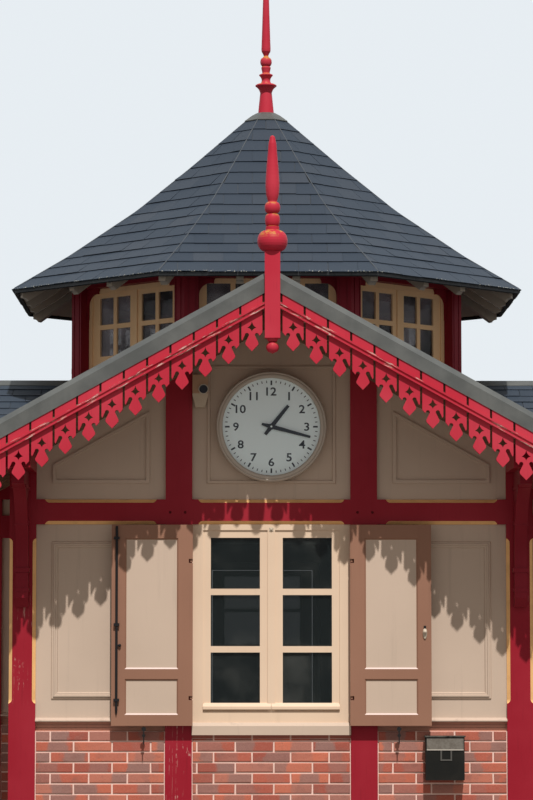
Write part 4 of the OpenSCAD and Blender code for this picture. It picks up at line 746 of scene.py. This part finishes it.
def lay_bricks():
    """Bricks on every bay of the base: three of each side or gable wall, two of the wall with the door."""
    beside = [(-1.41, -0.635, BRICK_TOP, JOINTS_AT), (0.635, 1.41, BRICK_TOP, JOINTS_AT[::-1])]
    under_sill = (-0.475, 0.475, 1.042, (0.130, 0.030))
    blocks = []
    for turn in range(4):
        for bay in beside if turn == 2 else [*beside, under_sill]:
            blocks.append(quarter_turns(brick_blocks(brick_bay(*bay), WALL + BEHIND_POSTS), turn))
        for near, far in ((1.57, 1.77), (1.93, 2.64), (2.80, 3.51)):
            for x0, x1, on in ((near, far, 3), (-far, -near, 1)):
                side_wall = brick_blocks(brick_bay(x0, x1, BRICK_TOP), -ARM_HALF + BEHIND_POSTS)
                blocks.append(quarter_turns(side_wall, turn + on))
    blocks = np.concatenate(blocks)
    n = len(blocks)
    low, high = blocks.min(1), blocks.max(1)
    run = np.where(high[:, 0] - low[:, 0] > high[:, 1] - low[:, 1], 0, 1)
    share = rng.uniform(0.3, 0.7, n)
    split = low[np.arange(n), run] * (1 - share) + high[np.arange(n), run] * share
    numbers = {"tone": rng.uniform(0, 1, n), "split": split, "way": rng.choice([-1.0, 0.0, 1.0], n),
               "smoked": rng.uniform(0, 1, n) ** 0.6 * 0.92}
    piece("bricks", blocks, many(WORN_SLAB, n, 12), brick, "brick",
          **{key: np.repeat(values, len(WORN_SLAB)) for key, values in numbers.items()})


lay_bricks()


# Slates

SLATE_WIDTH, SLATE_SHOWN, LAP, NARROWEST = 0.20, 0.135, 0.012, 0.012
OVERHANG, CAP_EDGE = 0.006, 0.088  # past the eaves; where the slates end under the ridge's cap
VALLEY_ZINC = 0.115  # bare zinc beside each valley
NEAREST, VERGE = 0.9, 4.236  # a course starts inside the lantern's wall, is cut there, and ends at the gable
# Painted shade: the dark share on a slate's lower edge and sides stands for the shadow line under each course
EDGE = np.array([0, 0, 1, 0.6, 0, 0.6])  # how dark each face of a slate may be, its lower edge most


def slate_blocks(ends, normal, lift, thick):
    """Each slate lies from its hidden head on the boards to its lower edge, which the slates below lift. Its
    ends are its corners: low left, low right, top right, top left."""
    low_left, low_right, top_right, top_left = ends
    n = len(low_left)
    wave = rng.uniform(-0.001, 0.0035, (n, 1)) * rng.uniform(0.2, 1, (n, 1))
    up = normal * (lift + wave)
    head = normal * 0.001
    fall = (low_left - top_left) * rng.uniform(-0.024, 0.016, (n, 1))
    base = np.stack([low_left + up + fall, low_right + up + fall, top_right + head, top_left + head], 1)
    return np.concatenate([base, base + normal * thick], 1)


def slate_course(u0, u1, row):
    """Left and right of each slate in a course from u0 to u1, half a slate out of step every other row."""
    start = np.floor(u0 / SLATE_WIDTH) * SLATE_WIDTH - (SLATE_WIDTH / 2 if row % 2 else 0)
    left = np.arange(start, u1, SLATE_WIDTH)
    left = left + rng.normal(0, 0.002, len(left))
    gap = rng.choice([0.0015, 0.003, 0.0045], len(left))
    return left, np.append(left[1:], left[-1] + SLATE_WIDTH) - gap


def ridge(turn):
    """Height of the ridge of an arm."""
    return RIDGES[turn % 2]


def slope(turn):
    """Fall of an arm's roof for each metre away from its ridge."""
    return (ridge(turn) - EAVE_Z) / EAVE_REACH


def arm_slates(turn, side):
    """Slates of one slope of an arm: courses run along the arm, cut on the valley and round the lantern."""
    rise, cross = slope(turn), slope(turn + 1)
    lean = math.hypot(1, rise)
    normal = np.array([rise, 0, 1]) / lean
    exposed = SLATE_SHOWN / lean
    blocks = []

    def start(x):
        """Nearest distance along the arm that is clear of the valley's zinc and of the lantern's wall."""
        valley = (rise * x - ridge(turn) + ridge(turn + 1)) / cross + VALLEY_ZINC
        return max(valley, min(DRUM_CLEAR, DRUM_CLEAR * math.sqrt(2) - x))

    for row in range(int((EAVE_REACH - 0.09) / exposed) + 1):
        low = EAVE_REACH + OVERHANG - row * exposed + rng.normal(0, 0.001)
        top = max(low - exposed - LAP, CAP_EDGE)
        left, right = slate_course(NEAREST, VERGE, row)
        ends = []
        for x, u in ((low, left), (low, right), (top, right), (top, left)):
            along = np.clip(u, start(x), VERGE)
            ends.append(np.stack(np.broadcast_arrays(x, -along, ridge(turn) - rise * x), -1))
        keep = (ends[0][:, 1] - ends[1][:, 1] > NARROWEST) | (ends[3][:, 1] - ends[2][:, 1] > NARROWEST)
        blocks.append(slate_blocks([end[keep] for end in ends], normal, 0.006, 0.005))
    blocks = np.concatenate(blocks)
    if side < 0:
        blocks = blocks * (-1, 1, 1)
    return quarter_turns(blocks, turn)


# The lantern roof's bell-shaped profile from its eaves up: reach and height, and the distance along it
BELL = np.array([[1.756, 1.383, 0.915, 0.535, 0.132], [4.080, 4.324, 4.672, 5.007, 5.382]])
BELL_RUN = np.concatenate([[0], np.cumsum(np.hypot(*np.diff(BELL)))])
BELL_ROWS = 15


def facing(angle):
    """The directions to the right and outward of a wall that is turned by an angle from the front one."""
    return np.array([math.cos(angle), math.sin(angle), 0]), np.array([math.sin(angle), -math.cos(angle), 0])


def lantern_slates():
    """Slates of the eight lantern faces: a course follows the bell-shaped profile, cut on the hips. The first
    course hangs a little over the eaves."""
    exposed = BELL_RUN[-1] / BELL_ROWS
    blocks = []
    for face in range(8):
        right, forward = facing(face * math.pi / 4)
        for row in range(BELL_ROWS):
            low = row * exposed + rng.normal(0, 0.0015) if row else -0.012
            top = min((row + 1) * exposed + LAP, BELL_RUN[-1])
            reach, height = ([float(np.interp(run, BELL_RUN, line)) for run in (low, top)] for line in BELL)
            if row == 0:
                reach[0], height[0] = reach[0] + 0.012, height[0] - 0.008
            lean = np.array([reach[0] - reach[1], height[1] - height[0]])
            lean = lean / np.hypot(*lean)
            normal = forward * lean[1] + (0, 0, lean[0])
            left, end = slate_course(-reach[0] * HALF_FACE, reach[0] * HALF_FACE, row + face)
            ends = []
            for k, u in ((0, left), (0, end), (1, end), (1, left)):
                across = np.clip(u, -reach[k] * HALF_FACE, reach[k] * HALF_FACE)
                ends.append(across[:, None] * right + reach[k] * forward + (0, 0, height[k]))
            wide = [np.linalg.norm(ends[1] - ends[0], axis=1), np.linalg.norm(ends[2] - ends[3], axis=1)]
            keep = np.maximum(*wide) > NARROWEST
            blocks.append(slate_blocks([end[keep] for end in ends], normal, 0.007, 0.006))
    return np.concatenate(blocks)


def slate_numbers(count, eave):
    """What the finish reads on each slate: its tone, how deep the painted shade on its edges is, whether it
    lies at low eaves.
    """
    tone = np.clip(rng.normal(0.5, 0.24, count), 0, 1)
    # Each slate's share of the painted edge shade, so that the courses' shadow lines vary
    dark = rng.uniform(0.15, 1.0, count)
    return {"tone": np.repeat(tone, len(SLAB)), "edge": np.tile(EDGE, count) * np.repeat(dark, len(SLAB)),
            "eave": np.repeat(eave, len(SLAB))}


def lay_slates():
    """Two slopes of each arm and the lantern, each roof a piece of its own."""
    for turn, name in enumerate(("front", "right", "back", "left")):
        right, left = arm_slates(turn, 1), arm_slates(turn, -1)
        faces = [many(SLAB, len(right), 8), many(SLAB[:, ::-1], len(left), 8) + 8 * len(right)]
        n = len(right) + len(left)
        piece(f"{name}_slates", np.concatenate([right, left]), np.concatenate(faces), slate, "slate",
              **slate_numbers(n, np.zeros(n)))
    top = lantern_slates()
    piece("lantern_slates", top, many(SLAB, len(top), 8), slate, "slate",
          **slate_numbers(len(top), top[..., 2].mean(1) < 4.17))


lay_slates()


# Small closed bodies

def stacked(rings):
    """Closes rings of points (n, m, 3): walls between neighbours, strips across both ends, faces outward."""
    rings = np.asarray(rings, float)
    n, m = rings.shape[:2]
    i, k = np.arange(m), np.arange(m // 2 - 1)
    walls = [np.stack([j * m + i, j * m + (i + 1) % m, (j + 1) * m + (i + 1) % m, (j + 1) * m + i], -1)
             for j in range(n - 1)]
    cap = np.stack([k, k + 1, m - 2 - k, m - 1 - k], -1)
    faces = np.concatenate(walls + [cap[:, ::-1], cap + (n - 1) * m])
    points = rings.reshape(-1, 3)
    a, b, c, d = np.moveaxis(points[faces] - points.mean(0), 1, 0)
    volume = (np.cross(a, b) * c + np.cross(a, c) * d).sum()
    return points, faces if volume > 0 else faces[:, ::-1]


def swept(path, side, up, outline):
    """A closed outline carried along a path: each point is the path's, plus side times the outline's first
    number and up times its second."""
    path, side, up = (np.broadcast_to(np.asarray(v, float), np.shape(path)) for v in (path, side, up))
    return stacked(path[:, None] + outline[None, :, :1] * side[:, None] + outline[None, :, 1:] * up[:, None])


def domed(centre, radius, proud, count=8, sink=0.003):
    """A round head on a wall that faces front: rings at shares of its radius and of how far it is proud."""
    turn = np.arange(count) * 2 * math.pi / count
    level = [(1.0, -sink), (1.0, 0.3 * proud), (0.86, 0.72 * proud), (0.55, 0.94 * proud), (0.2, proud)]
    x, y, z = centre
    return stacked([np.stack([x + radius * r * np.cos(turn), np.full(count, y - out),
                              z + radius * r * np.sin(turn)], -1) for r, out in level])


def plate(x0, x1, z0, z1, back, front, bevel):
    """A flat fitting on a wall that faces front, with bevelled edges."""
    def ring(inset, y):
        return [(x0 + inset, y, z0 + inset), (x1 - inset, y, z0 + inset), (x1 - inset, y, z1 - inset),
                (x0 + inset, y, z1 - inset)]
    return stacked([ring(0, back), ring(0, front + bevel), ring(bevel, front)])


def together(bodies):
    """Joins closed bodies into one array of points and one of faces."""
    starts = np.cumsum([0] + [len(points) for points, _ in bodies[:-1]])
    faces = np.concatenate([rows + start for (_, rows), start in zip(bodies, starts)])
    return np.concatenate([points for points, _ in bodies]), faces


def on_turns(bodies, turns):
    """Copies of closed bodies of the front, quarter-turned onto other arms."""
    return [(quarter_turns(points, turn), faces) for turn in turns for points, faces in bodies]


def round_bar(radius):
    """The outline of a bar: eight points on a circle."""
    turn = np.arange(8) * math.pi / 4
    return np.stack([np.cos(turn), np.sin(turn)], -1) * radius


def unit(vectors):
    """Each vector at a length of 1."""
    return vectors / np.linalg.norm(vectors, axis=-1, keepdims=True)


# Fixings, flashings and fittings

def frame_pegs():
    """Two oak pegs at each joint of a window post and the middle rail, a little proud and dark at the end."""
    heads = [domed((side * x, WALL, 2.392), 0.0085, 0.003) for side in (-1, 1) for x in (0.607, 0.517)]
    piece("frame_pegs", *together(on_turns(heads, range(4))), peg_wood, "red_timber")


def window_latches():
    """A plate with a turn button and two screws at the head of each window, where the casements meet."""
    casement = WALL + 0.012
    face = casement - 0.003
    parts = [plate(-0.013, 0.013, 2.278, 2.302, casement + 0.002, face, 0.001),
             domed((0, face, 2.290), 0.008, 0.007),
             *(domed((x, face, 2.297), 0.002, 0.001) for x in (-0.009, 0.009))]
    piece("window_latches", *together(on_turns(parts, (0, 1, 3))), pale_metal, "cream_paint")


def strap_screws():
    """Round screw heads along each hinge strap, on the wall side of the two front leaves."""
    points, faces = domed((0, 0, 0), 0.0045, 0.0018, 6, 0.001)
    backward, faces = points * (1, -1, 1), faces[:, ::-1]
    for side, name in ((-1, "left"), (1, "right")):
        heads = [(backward + (side * x, -3.693, z), faces)
                 for z in (1.308, 2.125) for x in (0.525, 0.575, 0.625)]
        piece(f"{name}_strap_screws", *together(heads), iron, "black_metal", f"{name}_shutter")


def latch_drop():
    """A drop-shaped plate under the turn button of the right leaf: an egg with half axes of 13, 5 and 32 mm
    whose width falls towards its tip, and a small staple above it."""
    x, y, z = 0.916, -3.734, 1.664
    turn, level = np.arange(12) * math.pi / 6, np.linspace(0.08, math.pi - 0.12, 9)
    wide = 0.013 * np.sin(level) ** 0.8 * (1 - 0.25 * np.cos(level)[::-1])
    rings = [np.stack([x + w * np.cos(turn), y + w * 0.40 * np.sin(turn),
                       np.full(12, z + 0.032 * math.cos(t))], -1) for t, w in zip(level, wide)]
    piece("latch_drop", *stacked(rings), pale_metal, "zinc", "right_shutter", rounded=True)
    piece("latch_staple", *plate(0.909, 0.923, 1.690, 1.712, -3.727, -3.735, 0.001), iron, "black_metal",
          "right_shutter")


def door_handle():
    """A lever handle on a long plate on the back door: a round bar that leaves the door and turns aside."""
    x, z, y = 0.372, 1.06, -3.64
    path = np.array([(x, y, z), (x, y - 0.035, z), (x - 0.008, y - 0.046, z), (x - 0.02, y - 0.050, z),
                     (x - 0.105, y - 0.050, z), (x - 0.118, y - 0.046, z - 0.002)])
    side = unit(np.cross(unit(np.gradient(path, axis=0)), (0, 0, 1.0)))
    bodies = [plate(x - 0.02, x + 0.02, z - 0.13, z + 0.07, y + 0.001, y - 0.005, 0.0015),
              swept(path, side, (0, 0, 1.0), round_bar(0.008)),
              domed((x, y - 0.005, z - 0.055), 0.009, 0.003),
              *(domed((x, y - 0.005, z + up), 0.003, 0.0015, 6) for up in (0.055, -0.115))]
    piece("door_handle", *together(on_turns(bodies, (2,))), pale_metal, "zinc")


def hip_strips():
    """Narrow lead strips in the mitres of the lantern's eight hips, which follow its bell-shaped line."""
    at = np.linspace(0.0, BELL_RUN[-1] - 0.01, 34)
    reach, height = (np.interp(at, BELL_RUN, line) for line in BELL)
    reach = reach / TO_CORNER
    bodies = []
    for hip in range(8):
        side, radial = facing((hip + 0.5) * math.pi / 4)
        path = reach[:, None] * radial + (height + 0.012)[:, None] * (0, 0, 1)
        up = unit(np.cross(np.gradient(path, axis=0), side))
        bodies.append(swept(path, side, up * np.sign(up[:, 2:]), round_bar(0.004)))
    piece("hip_strips", *together(bodies), lead, "zinc", rounded=True)


def cap_skirt():
    """The zinc cap's lower edge, an octagonal cone laid over the top slates: rings of eight points at each
    height, set at the reach of the corners."""
    turn = (np.arange(8) + 0.5) * math.pi / 4
    edge = np.array([(0.120, 5.379), (0.1535, 5.379), (0.1545, 5.384), (0.100, 5.427), (0.064, 5.4484)])
    rings = [np.stack(np.broadcast_arrays(reach * np.sin(turn), -reach * np.cos(turn), height), -1)
             for reach, height in edge / (TO_CORNER, 1)]
    piece("cap_skirt", *stacked(rings), zinc, "zinc")


def verge_upstands():
    """Folded zinc edges on the verges: a profile of depth and height carried down each slope, with a small
    lip, a sloping face and a turned-down back."""
    profile = np.array([(-0.005, 0.0), (-0.005, 0.010), (-0.001, 0.013), (0.040, 0.047), (0.052, 0.047),
                        (0.056, 0.040), (0.056, 0.020), (0.056, 0.0)])
    x, verge = np.array([0.0465, EAVE_REACH]), np.full(2, -4.32)
    bodies = []
    for turn in range(4):
        for side in (-1, 1):
            path = np.stack([side * x, verge, ridge(turn) + 0.0123 - slope(turn) * x], -1)
            bodies += on_turns([swept(path, (0, 1.0, 0), (0, 0, 1.0), profile)], [turn])
    piece("verge_upstands", *together(bodies), zinc, "zinc")


def drum_flashings():
    """Zinc strips where each arm's roof meets the lantern: flat on the slates, then turned up against the
    wall. Along the octagon the height follows the roof, ridge minus slope times distance from the ridge."""
    corner, valley = DRUM * HALF_FACE, DRUM_CLEAR * math.sqrt(2) / 2
    profile = ((0.0005, 0.050), (0.0025, 0.050), (0.0035, 0.020), (0.060, 0.0165), (0.060, 0.0145),
               (0.0005, 0.0145))
    square, slanting = (0, -1), (math.sqrt(0.5), -math.sqrt(0.5))
    bodies = []
    for turn in range(4):
        for side in (-1, 1):
            for x0, x1, outward in ((0.10, corner, square), (corner, valley, slanting)):
                x = np.linspace(x0, x1 - 0.002, 12)
                y = np.full(12, -DRUM) if outward == square else x - DRUM * math.sqrt(2)
                rings = []
                for away, lift in profile:
                    across = x + away * outward[0]
                    height = ridge(turn) - slope(turn) * across + lift
                    rings.append(np.stack([side * across, y + away * outward[1], height], -1))
                bodies += on_turns([stacked(np.stack(rings, 1))], [turn])
    piece("drum_flashings", *together(bodies), zinc, "zinc")


frame_pegs()
window_latches()
strap_screws()
latch_drop()
door_handle()
hip_strips()
cap_skirt()
verge_upstands()
drum_flashings()


# Clock: numbers 1 to 12 and minute marks on the dial

def clock_numbers():
    """Flat upright numbers on a ring, cut from plain type, made 50 mm high and 12 percent wider."""
    ring, high, wider = 0.213, 0.050, 1.12
    for hour in range(1, 13):
        curve = bpy.data.curves.new(f"number_{hour}", "FONT")
        curve.body = str(hour)
        curve.size = 0.072
        curve.extrude = 0.0003
        curve.offset = 0.0012
        curve.resolution_u = 3
        draft = in_scene("draft", curve)
        bpy.context.view_layer.update()
        mesh = bpy.data.meshes.new_from_object(draft.evaluated_get(bpy.context.evaluated_depsgraph_get()))
        bpy.data.objects.remove(draft)
        points = np.zeros(len(mesh.vertices) * 3, np.float32)
        mesh.vertices.foreach_get("co", points)
        x, y, z = points.reshape(-1, 3).T
        stretch = high / (y.max() - y.min())
        x, y = (x - (x.min() + x.max()) / 2) * stretch * wider, (y - (y.min() + y.max()) / 2) * stretch
        turn = math.radians(30 * hour)
        points = np.stack([x + ring * math.sin(turn), DIAL - 0.0006 - z,
                           y + CLOCK_Z + ring * math.cos(turn)], -1)
        mesh.vertices.foreach_set("co", points.astype(np.float32).ravel())
        mesh.materials.clear()
        mesh.materials.append(ink)
        number = in_scene(f"clock_number_{hour}", mesh)
        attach(number, "building")


def minute_marks():
    """Sixty short bars on a ring; every fifth is longer and bolder."""
    minute = np.arange(60)
    bold = minute % 5 == 0
    turn = np.radians(6 * minute)
    inner, outer = np.where(bold, 0.251, 0.265), np.full(60, 0.279)
    half = np.where(bold, 0.0050, 0.0024)
    corners = []
    for y in (DIAL - 0.0001, DIAL - 0.0008):
        for side, radius in ((-1, inner), (1, inner), (1, outer), (-1, outer)):
            x = radius * np.sin(turn) + side * half * np.cos(turn)
            z = radius * np.cos(turn) - side * half * np.sin(turn)
            corners.append(np.stack([x, np.full(60, y), CLOCK_Z + z], -1))
    piece("clock_minute_marks", np.stack(corners, 1), many(SLAB, 60, 8), ink, "black_metal")


def clock_bezel():
    """A rounded ring round the clock's case: a profile of radius and depth turned about the dial's axis."""
    radius, out = np.array([(0.314, 0.0), (0.333, 0.0), (0.333, 0.052), (0.330, 0.064), (0.324, 0.070),
                            (0.318, 0.066), (0.314, 0.050)]).T
    count, ring = 72, len(radius)
    turn = np.arange(count)[:, None] * 2 * math.pi / count
    points = np.stack([radius * np.sin(turn), np.broadcast_to(DIAL + 0.030 - out, (count, ring)),
                       CLOCK_Z + radius * np.cos(turn)], -1)
    a, b = np.arange(count)[:, None] * ring, np.arange(ring)
    c, d = (a + ring) % (count * ring), (b + 1) % ring
    faces = np.stack(np.broadcast_arrays(a + b, a + d, c + d, c + b), -1).reshape(-1, 4)
    piece("clock_bezel", points, faces, rim, "clock_rim", rounded=True)


clock_numbers()
minute_marks()
clock_bezel()
